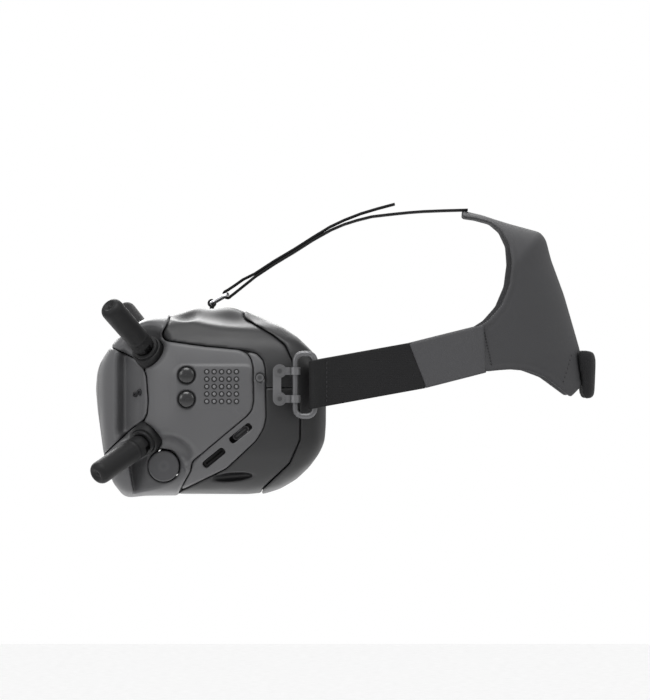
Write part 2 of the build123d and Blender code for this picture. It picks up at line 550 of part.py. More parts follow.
# ---- strap brackets and rings -----------------------------------------------------
for side_name, side in SIDES.items():
    with BuildPart() as strap_bracket:
        with BuildSketch(Plane(origin=(side * 86.1, 0, 0), z_dir=(side, 0, 0), x_dir=(0, 1, 0))) as plate:
            for screw_z in BRACKET_SCREWS_Z:
                with Locations((BRACKET_SCREW_Y, screw_z * side)):
                    Circle(3.6)
            with Locations((BRACKET_SCREW_Y - 1.4, side * sum(BRACKET_SCREWS_Z) / 2)):
                Rectangle(4.4, 15)
        extrude(plate.sketch, amount=2.0)
        for screw_z in BRACKET_SCREWS_Z:
            near, far = sorted((side * 86.1, side * 88.1))
            slab((near, BRACKET_SCREW_Y, screw_z - 2), (far, RING_FRONT_Y, screw_z + 2))
            rod((side * RING_X, RING_FRONT_Y, screw_z - 2), (0, 0, 1), KNUCKLE_R, 4)
            rod((side * 84, BRACKET_SCREW_Y, screw_z), (side, 0, 0), 1.3, 10, mode=Mode.SUBTRACT)
            rod((side * RING_X, RING_FRONT_Y, screw_z - 5), (0, 0, 1), RING_ROD_R + FIT, 10,
                mode=Mode.SUBTRACT)
    strap_bracket.part.label = "strap_bracket_" + side_name
    export_step(strap_bracket.part, "parts/strap_bracket_" + side_name + ".step")

    with BuildPart() as strap_ring:
        ring_plane = Plane(origin=(side * RING_X, 0, 0), z_dir=(1, 0, 0), x_dir=(0, 1, 0))
        with BuildLine(ring_plane) as ring_path:
            FilletPolyline((RING_FRONT_Y, RING_TOP_Z), (RING_BACK_Y, RING_TOP_Z),
                           (RING_BACK_Y, RING_BOTTOM_Z), (RING_FRONT_Y, RING_BOTTOM_Z),
                           radius=RING_CORNER_R, close=True)
        ring_wire = ring_path.wires()[0]
        with BuildSketch(Plane(origin=ring_wire @ 0, z_dir=ring_wire % 0)) as wire:
            Circle(RING_ROD_R)
        sweep(wire.sketch, path=ring_wire)
    strap_ring.part.label = "strap_ring_" + side_name
    export_step(strap_ring.part, "parts/strap_ring_" + side_name + ".step")

# ---- antennas ------------------------------------------------------------------------
with BuildPart() as antenna_seats:
    for side in (1, -1):
        for place in ANTENNA_FOOT:
            foot = on_side(ANTENNA_FOOT[place], side)
            axis = on_side(ANTENNA_AXIS[place], side).normalized()
            rod(foot - axis * 5, axis, SEAT_R, 5 + SEAT_HEIGHT)
            rod(foot - axis * 1, axis, COLLAR_R + 0.3, 10, mode=Mode.SUBTRACT)
            rod(foot - axis * 6, axis, 3.3, 10, mode=Mode.SUBTRACT)
antenna_seats.part.label = "antenna_seats"
export_step(antenna_seats.part, "parts/antenna_seats.step")

for side_name, side in SIDES.items():
    for place in ANTENNA_FOOT:
        foot = on_side(ANTENNA_FOOT[place], side)
        axis = on_side(ANTENNA_AXIS[place], side).normalized()
        reach = on_side(ANTENNA_REST[place], side).normalized()
        pin_axis = axis.cross(reach).normalized()
        pivot = foot + axis * PIVOT_HEIGHT
        ball = Sphere(STUB_R + CUP_CLEARANCE)
        node_name = place + "_" + side_name

        # Swivel collar: spigot in the seat, cup for the stub, tongue for the pin.
        with BuildPart() as antenna_collar:
            rod(foot - axis * 0.7, axis, COLLAR_R, PIVOT_HEIGHT - CUP_DEPTH + 0.7)
            rod(foot - axis * 9, axis, 3.0, 9)
            rod(foot - axis * 9, axis, 4.6, 3.4)
            add(Location(pivot) * ball, mode=Mode.SUBTRACT)
            tongue_plane = Plane(origin=pivot, x_dir=axis, z_dir=pin_axis)
            with BuildSketch(tongue_plane) as tongue:
                Circle(3.4)
                with Locations((-4.2, 0)):
                    Rectangle(6.4, 5.6)
            extrude(tongue.sketch, amount=TONGUE / 2, both=True)
            rod(pivot - pin_axis * 5, pin_axis, PIN_R + FIT, 10, mode=Mode.SUBTRACT)
        antenna_collar.part.label = "antenna_collar_" + node_name
        export_step(antenna_collar.part, "parts/antenna_collar_" + node_name + ".step")

        # Rubber stub with its cross pin.
        with BuildPart() as antenna_stub:
            with BuildSketch(Plane(origin=pivot, x_dir=reach, z_dir=pin_axis)) as stub_half:
                with BuildLine():
                    ThreePointArc((-STUB_R, 0), (-STUB_R * math.sqrt(0.5), STUB_R * math.sqrt(0.5)),
                                  (0, STUB_R))
                    Line((0, STUB_R), (STUB_REACH - STUB_END_R, STUB_R))
                    RadiusArc((STUB_REACH - STUB_END_R, STUB_R), (STUB_REACH, STUB_R - STUB_END_R),
                              STUB_END_R)
                    Polyline((STUB_REACH, STUB_R - STUB_END_R), (STUB_REACH - 0.7, 1.6),
                             (STUB_REACH - 0.7, 0), (-STUB_R, 0))
                make_face()
            revolve(stub_half.sketch, axis=Axis(pivot, reach))
            groove_plane = Plane(origin=pivot, x_dir=reach, z_dir=pin_axis)
            with BuildSketch(groove_plane) as groove:
                Circle(4.4)
                with Locations((-4.5, 0)):
                    Rectangle(9.0, 14.0)
            extrude(groove.sketch, amount=TONGUE / 2 + 0.35, both=True, mode=Mode.SUBTRACT)
            rod(pivot - pin_axis * 4.5, pin_axis, PIN_R, 9)
        antenna_stub.part.label = "antenna_stub_" + node_name
        export_step(antenna_stub.part, "parts/antenna_stub_" + node_name + ".step")

# ---- top loop and its anchor -----------------------------------------------------------
LOOP_WIRE_R = 1.0
LOOP_Y, LOOP_Z = -62.8, 44.4
LOOP_FAR = (-54.4, 49.2)
LOOP_HALF_WIDTH = 12.5
with BuildPart() as loop_anchor:
    slab((-6, LOOP_Y - 1.1, 41.1), (6, LOOP_Y + 1.1, LOOP_Z))
    rod((-6, LOOP_Y, LOOP_Z), (1, 0, 0), 2.3, 12)
    rod((-10, LOOP_Y, LOOP_Z), (1, 0, 0), LOOP_WIRE_R + FIT, 20, mode=Mode.SUBTRACT)
loop_anchor.part.label = "loop_anchor"
export_step(loop_anchor.part, "parts/loop_anchor.step")

loop_rise = Vector(0, LOOP_FAR[0] - LOOP_Y, LOOP_FAR[1] - LOOP_Z)
with BuildPart() as top_loop:
    loop_plane = Plane(origin=(0, LOOP_Y, LOOP_Z), x_dir=(1, 0, 0), z_dir=Vector(1, 0, 0).cross(loop_rise))
    with BuildLine(loop_plane) as loop_path:
        FilletPolyline((LOOP_HALF_WIDTH, 0), (LOOP_HALF_WIDTH, loop_rise.length),
                       (-LOOP_HALF_WIDTH, loop_rise.length), (-LOOP_HALF_WIDTH, 0), radius=2.6, close=True)
    loop_wire = loop_path.wires()[0]
    with BuildSketch(Plane(origin=loop_wire @ 0, z_dir=loop_wire % 0)) as wire:
        Circle(LOOP_WIRE_R)
    sweep(wire.sketch, path=loop_wire)
top_loop.part.label = "top_loop"
export_step(top_loop.part, "parts/top_loop.step")

# ---- straps ------------------------------------------------------------------------------
STRAP_FRONT = (RING_X, RING_BACK_Y, 0.9)
STRAP_MIDDLE = (77.5, 48.0, 10.8)
STRAP_END = (68.5, 79.0, 18.6)


def add_band(start, end, width, thick):
    """Flat straight band between two points, standing on its edge."""
    along = Vector(*end) - Vector(*start)
    across = along.cross(Vector(0, 0, 1)).normalized()
    section = Plane(origin=start, x_dir=across, z_dir=along)
    with BuildSketch(section) as band:
        Rectangle(thick, width)
    extrude(band.sketch, amount=along.length)


for side_name, side in SIDES.items():
    front = on_side(STRAP_FRONT, side)
    middle = on_side(STRAP_MIDDLE, side)
    end = on_side(STRAP_END, side)
    with BuildPart() as side_strap:
        # Hem that wraps the ring's back bar, then the doubled elastic.
        rod(front - Vector(0, 0, ELASTIC_WIDTH / 2 - 0.5), (0, 0, 1), RING_ROD_R + 1.9, ELASTIC_WIDTH - 1)
        band_start = front + (middle - front).normalized() * 2.4
        add_band(tuple(band_start), tuple(middle), ELASTIC_WIDTH, ELASTIC_THICK)
        rod(front - Vector(0, 0, 30), (0, 0, 1), RING_ROD_R + 0.35, 60, mode=Mode.SUBTRACT)
    side_strap.part.label = "side_strap_" + side_name
    export_step(side_strap.part, "parts/side_strap_" + side_name + ".step")

with BuildPart() as strap_tabs:
    for side in (1, -1):
        middle = on_side(STRAP_MIDDLE, side)
        end = on_side(STRAP_END, side)
        gap = (end - middle).normalized() * 1.2
        add_band(tuple(middle + gap), tuple(end - gap), ELASTIC_WIDTH - 1, 2.0)
strap_tabs.part.label = "strap_tabs"
export_step(strap_tabs.part, "parts/strap_tabs.step")

# Head cradle: two panels of laminated fabric, sewn together behind the head.
CRADLE_CENTRE_Y, CRADLE_CENTRE_Z = 52.0, 18.0
CRADLE_LONG, CRADLE_SHORT = 91.0, 72.0
CRADLE_TILT = 38.0
CRADLE_THICK = 2.2
CRADLE_SIDE = [
    (79.5, 31), (86, 35), (92.7, 43), (97.2, 54), (98.6, 66), (97.5, 75.5), (93.5, 84), (85.7, 88),
    (74, 89), (74, 104), (126, 96), (150, 20), (129, -6.5), (123, -1), (116, 4), (107, 7.5), (97, 8.5),
    (84, 7),
]


def spheroid(shrink):
    """Egg-shaped solid that the cradle wraps, long axis towards the crown."""
    tilt = math.radians(CRADLE_TILT)
    long_axis = Vector(0, math.cos(tilt), math.sin(tilt))
    centre = Vector(0, CRADLE_CENTRE_Y, CRADLE_CENTRE_Z)
    with BuildPart() as egg:
        with BuildSketch(Plane(origin=centre, x_dir=long_axis, z_dir=(1, 0, 0))) as half:
            Ellipse(CRADLE_LONG - shrink, CRADLE_SHORT - shrink)
            with Locations((0, -CRADLE_SHORT)):
                Rectangle(4 * CRADLE_LONG, 2 * CRADLE_SHORT, mode=Mode.SUBTRACT)
        revolve(half.sketch, axis=Axis(centre, long_axis))
    return egg.part


outer_egg, inner_egg = spheroid(0), spheroid(CRADLE_THICK)
for side_name, side in SIDES.items():
    with BuildPart() as head_cradle:
        add(outer_egg)
        add(inner_egg, mode=Mode.SUBTRACT)
        extrude(closed_sketch(Plane.YZ.offset(side * 0.1), CRADLE_SIDE), amount=side * 100,
                mode=Mode.INTERSECT)
    head_cradle.part.label = "head_cradle_" + side_name
    export_step(head_cradle.part, "parts/head_cradle_" + side_name + ".step")

with BuildPart() as nape_pocket:
    with BuildSketch(Plane.XY.offset(-8)) as pocket:
        with BuildLine():
            Polyline((-21, 128), (-21, 140), (-13, 146), (13, 146), (21, 140), (21, 128), close=True)
        make_face()
    extrude(pocket.sketch, amount=26)
    add(Location((0, 0.3, 0)) * outer_egg, mode=Mode.SUBTRACT)
nape_pocket.part.label = "nape_pocket"
export_step(nape_pocket.part, "parts/nape_pocket.step")

# Top strap: a hook-and-loop strap folded back through the loop, and the thin
# strap that joins it to the cradle.
TOP_HALF_WIDTH = 10.0


def add_ribbon(points, thick):
    """Flat ribbon whose edge follows a side-view line, centred on X = 0."""
    with BuildSketch(Plane.YZ) as edge:
        with BuildLine():
            Polyline(*points)
        trace(line_width=thick)
    extrude(edge.sketch, amount=TOP_HALF_WIDTH, both=True)


with BuildPart() as top_strap_front:
    rod((-TOP_HALF_WIDTH, *LOOP_FAR), (1, 0, 0), LOOP_WIRE_R + 1.7, 2 * TOP_HALF_WIDTH)
    add_ribbon([(LOOP_FAR[0] + 1.8, LOOP_FAR[1] + 1.2), (-39.4, 59.2), (-18, 72.6), (2, 85.4)], 3.0)
    add_ribbon([(2, 84.9), (16, 90.2), (31, 92.9)], 1.8)
    add_ribbon([(1.4, 85.9), (18, 92.8), (35.5, 97.9)], 2.0)
    rod((-30, *LOOP_FAR), (1, 0, 0), LOOP_WIRE_R + 0.35, 60, mode=Mode.SUBTRACT)
top_strap_front.part.label = "top_strap_front"
export_step(top_strap_front.part, "parts/top_strap_front.step")

with BuildPart() as top_strap_rear:
    add_ribbon([(32.4, 93.1), (52, 94.6), (72.6, 93.8)], 1.8)
top_strap_rear.part.label = "top_strap_rear"
export_step(top_strap_rear.part, "parts/top_strap_rear.step")
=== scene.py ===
# First-person-view goggles, put together in the order in which they are built:
# shells, side controls, antennas, optics, cushion, then the head strap.
# The wearer looks along -Y, +X is the wearer's left, +Z is up.
import math

import bmesh
import bpy
import numpy as np
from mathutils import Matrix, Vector


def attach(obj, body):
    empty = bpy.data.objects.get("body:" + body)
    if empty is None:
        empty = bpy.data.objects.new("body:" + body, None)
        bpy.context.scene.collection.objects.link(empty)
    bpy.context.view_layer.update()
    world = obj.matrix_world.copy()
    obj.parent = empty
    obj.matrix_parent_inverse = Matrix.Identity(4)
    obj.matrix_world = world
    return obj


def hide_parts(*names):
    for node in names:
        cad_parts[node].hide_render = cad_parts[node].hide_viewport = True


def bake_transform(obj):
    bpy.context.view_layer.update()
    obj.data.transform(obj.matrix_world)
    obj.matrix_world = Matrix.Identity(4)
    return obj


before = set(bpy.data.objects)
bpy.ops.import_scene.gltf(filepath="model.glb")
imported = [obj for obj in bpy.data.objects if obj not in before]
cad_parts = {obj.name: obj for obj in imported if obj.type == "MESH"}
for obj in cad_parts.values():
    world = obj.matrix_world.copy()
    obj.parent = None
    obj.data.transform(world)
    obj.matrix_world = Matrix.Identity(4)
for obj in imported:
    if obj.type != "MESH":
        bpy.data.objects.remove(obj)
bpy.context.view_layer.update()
MM = 0.001

# ---- Studio -----------------------------------------------------------------
# A long lens looks square at the wearer's left side. The floor is one pale
# plane, lit by large soft panels above and at both sides.
AIM = Vector((0, -0.0014, 0.019))
camera_data = bpy.data.cameras.new("camera")
camera_data.sensor_width = 36
camera_data.lens = 284
camera_data.clip_end = 30
camera = bpy.data.objects.new("camera", camera_data)
camera.location = AIM + Vector((3.0, 0, 0))
camera.rotation_euler = (math.radians(90), 0, math.radians(90))
bpy.context.scene.collection.objects.link(camera)
bpy.context.scene.camera = camera


def soft_panel(name, place, size, power):
    """Square light that faces the goggles."""
    data = bpy.data.lights.new(name, "AREA")
    data.shape = "SQUARE"
    data.size = size
    data.energy = power
    panel = bpy.data.objects.new(name, data)
    panel.location = place
    panel.rotation_euler = (AIM - Vector(place)).to_track_quat("-Z", "Y").to_euler()
    bpy.context.scene.collection.objects.link(panel)


soft_panel("top_light", (0.75, -0.15, 1.45), 1.0, 28)
soft_panel("front_light", (1.2, -1.5, 0.6), 0.8, 12)
soft_panel("rear_light", (0.9, 1.5, 0.8), 0.8, 7)
soft_panel("far_light", (-1.4, -0.3, 0.9), 1.2, 30)

world = bpy.data.worlds.new("studio")
world.use_nodes = True
world.node_tree.nodes["Background"].inputs["Color"].default_value = (1, 1, 1, 1)
world.node_tree.nodes["Background"].inputs["Strength"].default_value = 1.0
bpy.context.scene.world = world
bpy.context.scene.view_settings.view_transform = "Standard"

floor_mesh = bpy.data.meshes.new("floor")
FLOOR_HALF, FLOOR_Z = 9.0, -0.62
floor_mesh.from_pydata([(-FLOOR_HALF, -FLOOR_HALF, FLOOR_Z), (FLOOR_HALF, -FLOOR_HALF, FLOOR_Z),
                        (FLOOR_HALF, FLOOR_HALF, FLOOR_Z), (-FLOOR_HALF, FLOOR_HALF, FLOOR_Z)],
                       [], [(0, 1, 2, 3)])
floor = bpy.data.objects.new("floor", floor_mesh)
bpy.context.scene.collection.objects.link(floor)


def finish_material(name, color, roughness, metallic=0.0, grain=0.0, grain_size=0.0004, wear=0.0,
                    cloudy=0.12, shine=0.28):
    """Principled material with a fine grain, cloudy roughness and lighter worn edges."""
    material = bpy.data.materials.new(name)
    material.use_nodes = True
    nodes, links = material.node_tree.nodes, material.node_tree.links
    shader = nodes["Principled BSDF"]
    shader.inputs["Metallic"].default_value = metallic
    shader.inputs["Specular IOR Level"].default_value = shine
    place = nodes.new("ShaderNodeTexCoord")
    blotch = nodes.new("ShaderNodeTexNoise")
    blotch.inputs["Scale"].default_value = 55
    blotch.inputs["Detail"].default_value = 5
    links.new(place.outputs["Object"], blotch.inputs["Vector"])
    spread = nodes.new("ShaderNodeMapRange")
    spread.inputs["To Min"].default_value = max(roughness - cloudy, 0.03)
    spread.inputs["To Max"].default_value = min(roughness + cloudy, 1)
    links.new(blotch.outputs["Fac"], spread.inputs["Value"])
    links.new(spread.outputs["Result"], shader.inputs["Roughness"])
    tint = nodes.new("ShaderNodeMix")
    tint.data_type = "RGBA"
    tint.inputs["A"].default_value = (*[c * 0.93 for c in color], 1)
    tint.inputs["B"].default_value = (*[min(c * 1.07, 1) for c in color], 1)
    links.new(blotch.outputs["Fac"], tint.inputs["Factor"])
    colour_out = tint.outputs["Result"]
    if wear:
        shape = nodes.new("ShaderNodeNewGeometry")
        edge = nodes.new("ShaderNodeMapRange")
        edge.inputs["From Min"].default_value = 0.53
        edge.inputs["From Max"].default_value = 0.62
        edge.inputs["To Max"].default_value = wear
        links.new(shape.outputs["Pointiness"], edge.inputs["Value"])
        rub = nodes.new("ShaderNodeMix")
        rub.data_type = "RGBA"
        rub.inputs["B"].default_value = (*[min(c * 1.8 + 0.03, 1) for c in color], 1)
        links.new(edge.outputs["Result"], rub.inputs["Factor"])
        links.new(colour_out, rub.inputs["A"])
        colour_out = rub.outputs["Result"]
    links.new(colour_out, shader.inputs["Base Color"])
    if grain:
        speck = nodes.new("ShaderNodeTexNoise")
        speck.inputs["Scale"].default_value = 1 / grain_size
        speck.inputs["Detail"].default_value = 2
        links.new(place.outputs["Object"], speck.inputs["Vector"])
        bump = nodes.new("ShaderNodeBump")
        bump.inputs["Strength"].default_value = grain
        bump.inputs["Distance"].default_value = 0.0002
        links.new(speck.outputs["Fac"], bump.inputs["Height"])
        links.new(bump.outputs["Normal"], shader.inputs["Normal"])
    return material


floor.data.materials.append(finish_material("pale_floor", (0.93, 0.93, 0.93), 0.8, cloudy=0.05))

# ---- Rear housing, upper and lower ------------------------------------------
# Two dark moulded shells that meet on a level seam and carry the strap
# brackets. Each is a 2.4 mm wall, rounded at its edges.
dark_plastic = finish_material("dark_satin_plastic", (0.0082, 0.0082, 0.0088), 0.48, grain=0.14, wear=0.2)
WALL = 2.4
SIDE_OUTLINE = [
    (-125.2, -2), (-124.4, 6.6), (-122.6, 11.8), (-116.9, 19.5), (-111.7, 25.6), (-102, 33),
    (-95, 37.2), (-90, 38), (-85.7, 37.6), (-77.1, 40.3), (-69.5, 43.4), (-65.4, 42.2), (-59.8, 42.2),
    (-53.7, 43.2), (-49.4, 42.6), (-42.4, 39.4), (-33.8, 35.8), (-25.1, 32), (-16.5, 26.4),
    (-8.7, 18.8), (-4.3, 13.2), (-0.6, 1), (0.2, -10), (0.1, -20.3), (-0.9, -29), (-4.3, -36.2),
    (-9.5, -43.4), (-16.5, -50.2), (-25.1, -55.4), (-33.8, -58.4), (-42.4, -59.4), (-82.3, -59.2),
    (-98, -59.4), (-105.7, -60.6), (-109, -59.8), (-114.4, -52), (-119.5, -40), (-122, -25.4),
    (-124, -13.6),
]
PLAN_OUTLINE = [
    (-60, 6), (66, 6), (70, 0), (80, -8), (86, -22), (86.2, -40), (85.4, -60), (83.6, -80), (77, -93),
    (69, -102), (64.5, -113), (58, -119.5), (45, -124.5), (20, -130), (-60, -130),
]
FRONT_OUTLINE = [
    (-60, 49), (38, 49), (52, 45), (67, 37.5), (80, 23), (87, 9), (87, -18), (80.5, -34), (71, -47),
    (61, -57), (48, -65), (-60, -65),
]


def soft_max(a, b, blend):
    """Larger of two distances, rounded where they meet."""
    near = np.maximum(blend - np.abs(a - b), 0) / blend
    return np.maximum(a, b) + near * near * blend / 4


def soft_min(a, b, blend):
    return -soft_max(-a, -b, blend)


def drawing(corners, soft):
    """Distance to a closed outline as a function, negative inside, with its corners softened."""
    pitch = 0.4
    low = [min(c[a] for c in corners) - 14 for a in (0, 1)]
    count = [int((max(c[a] for c in corners) + 14 - low[a]) / pitch) + 2 for a in (0, 1)]
    u = (low[0] + pitch * np.arange(count[0]))[:, None]
    v = (low[1] + pitch * np.arange(count[1]))[None, :]
    nearest, inside = np.full(count, 1e9), np.zeros(count, bool)
    for (au, av), (bu, bv) in zip(corners, corners[1:] + corners[:1]):
        eu, ev = bu - au, bv - av
        along = np.clip(((u - au) * eu + (v - av) * ev) / (eu * eu + ev * ev), 0, 1)
        nearest = np.minimum(nearest, (u - au - along * eu) ** 2 + (v - av - along * ev) ** 2)
        inside ^= ((av > v) != (bv > v)) & (u < au + (v - av) * eu / (ev if ev else 1e-9))
    table = np.where(inside, -1, 1) * np.sqrt(nearest)
    reach = int(2.5 * soft / pitch) + 1
    weight = np.exp(-0.5 * (np.arange(-reach, reach + 1) * pitch / max(soft, 0.1)) ** 2)
    weight /= weight.sum()
    for axis in (0, 1):
        padded = np.pad(table, [(reach, reach) if a == axis else (0, 0) for a in (0, 1)], mode="edge")
        table = sum(w * np.take(padded, range(k, k + count[axis]), axis) for k, w in enumerate(weight))

    def distance(a, b):
        a = np.clip((a - low[0]) / pitch, 0, count[0] - 1.001)
        b = np.clip((b - low[1]) / pitch, 0, count[1] - 1.001)
        i, j = a.astype(int), b.astype(int)
        s, t = a - i, b - j
        first = table[i, j] * (1 - s) + table[i + 1, j] * s
        return first * (1 - t) + (table[i, j + 1] * (1 - s) + table[i + 1, j + 1] * s) * t

    return distance


def ball(x, y, z, centre, radius):
    return np.sqrt((x - centre[0]) ** 2 + (y - centre[1]) ** 2 + (z - centre[2]) ** 2) - radius


def along_axis(x, y, z, start, axis):
    """Height along an axis from a point, and distance from that axis."""
    dx, dy, dz = x - start[0], y - start[1], z - start[2]
    height = dx * axis[0] + dy * axis[1] + dz * axis[2]
    return height, np.sqrt(np.maximum(dx * dx + dy * dy + dz * dz - height * height, 0))


ANTENNA_FOOT = {"upper": (70.2, -95.0, 17.8), "lower": (69.6, -96.5, -28.0)}
ANTENNA_AXIS = {"upper": (0.72, -0.42, 0.55), "lower": (0.72, -0.47, -0.51)}
WELL = [
    (-106, -42), (-105, -46.4), (-101.5, -70), (-86, -70), (-74.5, -50), (-75.3, -45), (-78.7, -38.8),
    (-82.1, -34.6), (-89.7, -33.3), (-96, -36.3),
]
side_shape = drawing(SIDE_OUTLINE, 1.6)
plan_shape = drawing(PLAN_OUTLINE, 2.6)
front_shape = drawing(FRONT_OUTLINE, 3.0)
well_shape = drawing(WELL, 1.4)


def unit(v):
    return tuple(Vector(v).normalized())


def oval(x, y, z, centre, half, turn=0.0):
    """Rounded dent: distance to an egg with three half lengths, turned about X."""
    dy, dz = y - centre[1], z - centre[2]
    along = dy * math.cos(turn) + dz * math.sin(turn)
    across = dz * math.cos(turn) - dy * math.sin(turn)
    scaled = np.sqrt(((x - centre[0]) / half[0]) ** 2 + (along / half[1]) ** 2 + (across / half[2]) ** 2)
    return (scaled - 1) * min(half)


def body_form(x, y, z):
    """Distance to the outer form that all the shells share."""
    x = np.abs(x)
    form = soft_max(soft_max(side_shape(y, z), plan_shape(x, y), 7), front_shape(x, z), 9)
    # Hollow beside the front plate, with a steep front wall.
    wall_side = -0.62 * (x - 58.5) - 0.78 * (y + 108)
    lit_side = -0.64 * (x - 58.5) + 0.77 * (y + 108)
    hollow = soft_max(soft_max(wall_side, lit_side, 2.0), np.abs(z + 4.5) - 25 + 0.25 * (y + 108), 9)
    hollow = soft_max(hollow, y + 97.5, 3)
    form = soft_max(form, -hollow, 2.4)
    # Long valley and a finger dent on each side of the roof.
    form = soft_max(form, -oval(x, y, z, (66, -62, 45), (15, 26, 9.5), -0.25), 5)
    form = soft_max(form, -oval(x, y, z, (60, -76.5, 41.5), (11, 7.5, 6.5), -0.35), 2.5)
    # Dip in the middle of the roof for the strap anchor.
    form = soft_max(form, -oval(x, y, z, (0, -63, 45.5), (17, 4.5, 4.6)), 2)
    # Finger notch under each side.
    form = soft_max(form, -oval(x, y, z, (68.2, -51, -48.6), (3.6, 7.2, 1.7), 0.1), 0.8)
    # Dishes round the antennas and the well round the lens slider.
    for place in ANTENNA_FOOT:
        axis = unit(ANTENNA_AXIS[place])
        centre = [f + a * 9.5 for f, a in zip(ANTENNA_FOOT[place], axis)]
        form = soft_max(form, -ball(x, y, z, centre, 13.0), 3.5)
    well = soft_max(well_shape(y, z), 68.6 + (y + 79) * 0.5 - x, 1.2)
    form = soft_max(form, -oval(x, y, z, (82, -82, -36), (13, 13, 9), -0.5), 4)
    return soft_max(form, -well, 1.4)


def mesh_object(name, points, faces, material):
    """Object from points in millimetres."""
    mesh = bpy.data.meshes.new(name)
    mesh.from_pydata([tuple(p * MM for p in point) for point in points], [], faces)
    mesh.validate()
    mesh.polygons.foreach_set("use_smooth", [True] * len(mesh.polygons))
    mesh.materials.append(material)
    piece = bpy.data.objects.new(name, mesh)
    bpy.context.scene.collection.objects.link(piece)
    return piece


def skin(name, form, low, high, step, material):
    """Closed mesh of the surface where form(x, y, z) is zero, inside a box."""
    axes = [np.arange(a - 2 * step, b + 3 * step, step) for a, b in zip(low, high)]
    x, y, z = axes[0][:, None, None], axes[1][None, :, None], axes[2][None, None, :]
    shape = tuple(len(a) for a in axes)
    field = np.array(np.broadcast_to(form(x, y, z), shape), dtype=np.float32)
    inside = field < 0
    cells = tuple(n - 1 for n in shape)
    total = np.zeros(cells + (3,), np.float32)
    count = np.zeros(cells, np.float32)
    quads = []
    for axis in range(3):
        near = [slice(None)] * 3
        far = [slice(None)] * 3
        near[axis], far[axis] = slice(0, -1), slice(1, None)
        f0, f1 = field[tuple(near)], field[tuple(far)]
        cross = inside[tuple(near)] != inside[tuple(far)]
        part = np.where(cross, f0 / np.where(cross, f0 - f1, 1), 0)
        others = [a for a in range(3) if a != axis]
        for first in (0, 1):
            for second in (0, 1):
                cut = [slice(None)] * 3
                cut[others[0]] = slice(first, first + cells[others[0]])
                cut[others[1]] = slice(second, second + cells[others[1]])
                hit = cross[tuple(cut)]
                count += hit
                total[..., axis] += np.where(hit, part[tuple(cut)], 0)
                total[..., others[0]] += hit * first
                total[..., others[1]] += hit * second
        quads.append((axis, others, np.argwhere(cross), inside[tuple(near)][cross]))
    active = count > 0
    number = np.full(cells, -1, np.int64)
    number[active] = np.arange(active.sum())
    where = np.argwhere(active)
    points = where + total[active] / count[active][:, None]
    points = np.stack([axes[a][0] + points[:, a] * step for a in range(3)], 1)
    faces = []
    for axis, others, edges, outward in quads:
        keep = np.all([(edges[:, o] > 0) & (edges[:, o] < cells[o]) for o in others], axis=0)
        edges, outward = edges[keep], outward[keep]
        ring = []
        for first, second in ((1, 1), (0, 1), (0, 0), (1, 0)):
            cell = edges.copy()
            cell[:, others[0]] -= first
            cell[:, others[1]] -= second
            ring.append(number[cell[:, 0], cell[:, 1], cell[:, 2]])
        ring = np.stack(ring, 1)
        flip = outward if axis != 1 else ~outward
        ring[~flip] = ring[~flip][:, ::-1]
        faces.append(ring)
    faces = np.concatenate(faces)
    tiny = 0.02
    links = np.stack([faces, np.roll(faces, -1, 1)], 2).reshape(-1, 2)
    share = np.bincount(links.ravel(), minlength=len(points))[:, None]
    for turn in range(6):
        if turn in (1, 3):
            pull = [np.bincount(links[:, 0], points[links[:, 1], a], len(points))
                    + np.bincount(links[:, 1], points[links[:, 0], a], len(points)) for a in range(3)]
            points = 0.5 * points + 0.5 * np.stack(pull, 1) / share
        here = form(*points.T)
        slope = np.stack([form(*(points + tiny * np.eye(3)[a]).T) - here for a in range(3)], 1) / tiny
        move = here[:, None] * slope / np.maximum((slope ** 2).sum(1), 0.05)[:, None]
        length = np.linalg.norm(move, axis=1, keepdims=True)
        points = points - move * np.minimum(1, 0.6 * step / np.maximum(length, 1e-9))
    mesh = bpy.data.meshes.new(name)
    mesh.vertices.add(len(points))
    mesh.vertices.foreach_set("co", (points * MM).ravel())
    mesh.loops.add(faces.size)
    mesh.loops.foreach_set("vertex_index", faces.ravel())
    mesh.polygons.add(len(faces))
    mesh.polygons.foreach_set("loop_start", np.arange(0, faces.size, 4))
    mesh.polygons.foreach_set("use_smooth", np.ones(len(faces), bool))
    mesh.update(calc_edges=True)
    mesh.validate()
    mesh.materials.append(material)
    piece = bpy.data.objects.new(name, mesh)
    bpy.context.scene.collection.objects.link(piece)
    return piece


def carry(piece, body, slot, *nodes):
    """Attach a finished piece to its body and hide the CAD nodes it stands for. The slot argument is not
    used.
    """
    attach(piece, body)
    if nodes:
        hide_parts(*nodes)
    return piece


FRONT_EDGE = [
    (-135, 27), (-117.6, 21.6), (-102.5, 14.5), (-97.5, 9.5), (-96, 5), (-95, -8), (-95.6, -15),
    (-97.5, -18.5), (-104, -22.7), (-120.5, -38), (-135, -42),
]
COVER_TOP = [
    (-126, 55), (-84.3, 55), (-84.3, 34.3), (-87.6, 28), (-87.4, 25.4), (-85.3, 23.8), (-66.3, 21.1),
    (-47, 19.3), (-43, 17.6), (-40.5, 14.5),
]
COVER_BACK = [
    (-39.4, 10), (-39.2, -8.5), (-40.2, -12.8), (-42.6, -15.9), (-71.6, -40.1), (-72.7, -45.4),
    (-78.5, -55.4),
]
COVER_FOOT = [(-84, -70), (-114, -70), (-135, -48)]
STRIP_OUTER = [
    (-44, 18.7), (-37.5, 17), (-34.2, 13.5), (-33.1, 9), (-32.6, -16.9), (-34, -22.5), (-37.9, -29),
    (-53.7, -43.8), (-78.9, -56.2),
]
COVER_AREA = COVER_TOP + COVER_BACK + COVER_FOOT + FRONT_EDGE[-2:0:-1]
STRIP_AREA = [(-47, 19.3)] + STRIP_OUTER + COVER_BACK[::-1] + [(-40.5, 14.5), (-43, 17.6)]
SIDE_AREA = COVER_TOP[:7] + STRIP_OUTER + COVER_FOOT + FRONT_EDGE[-2:0:-1]
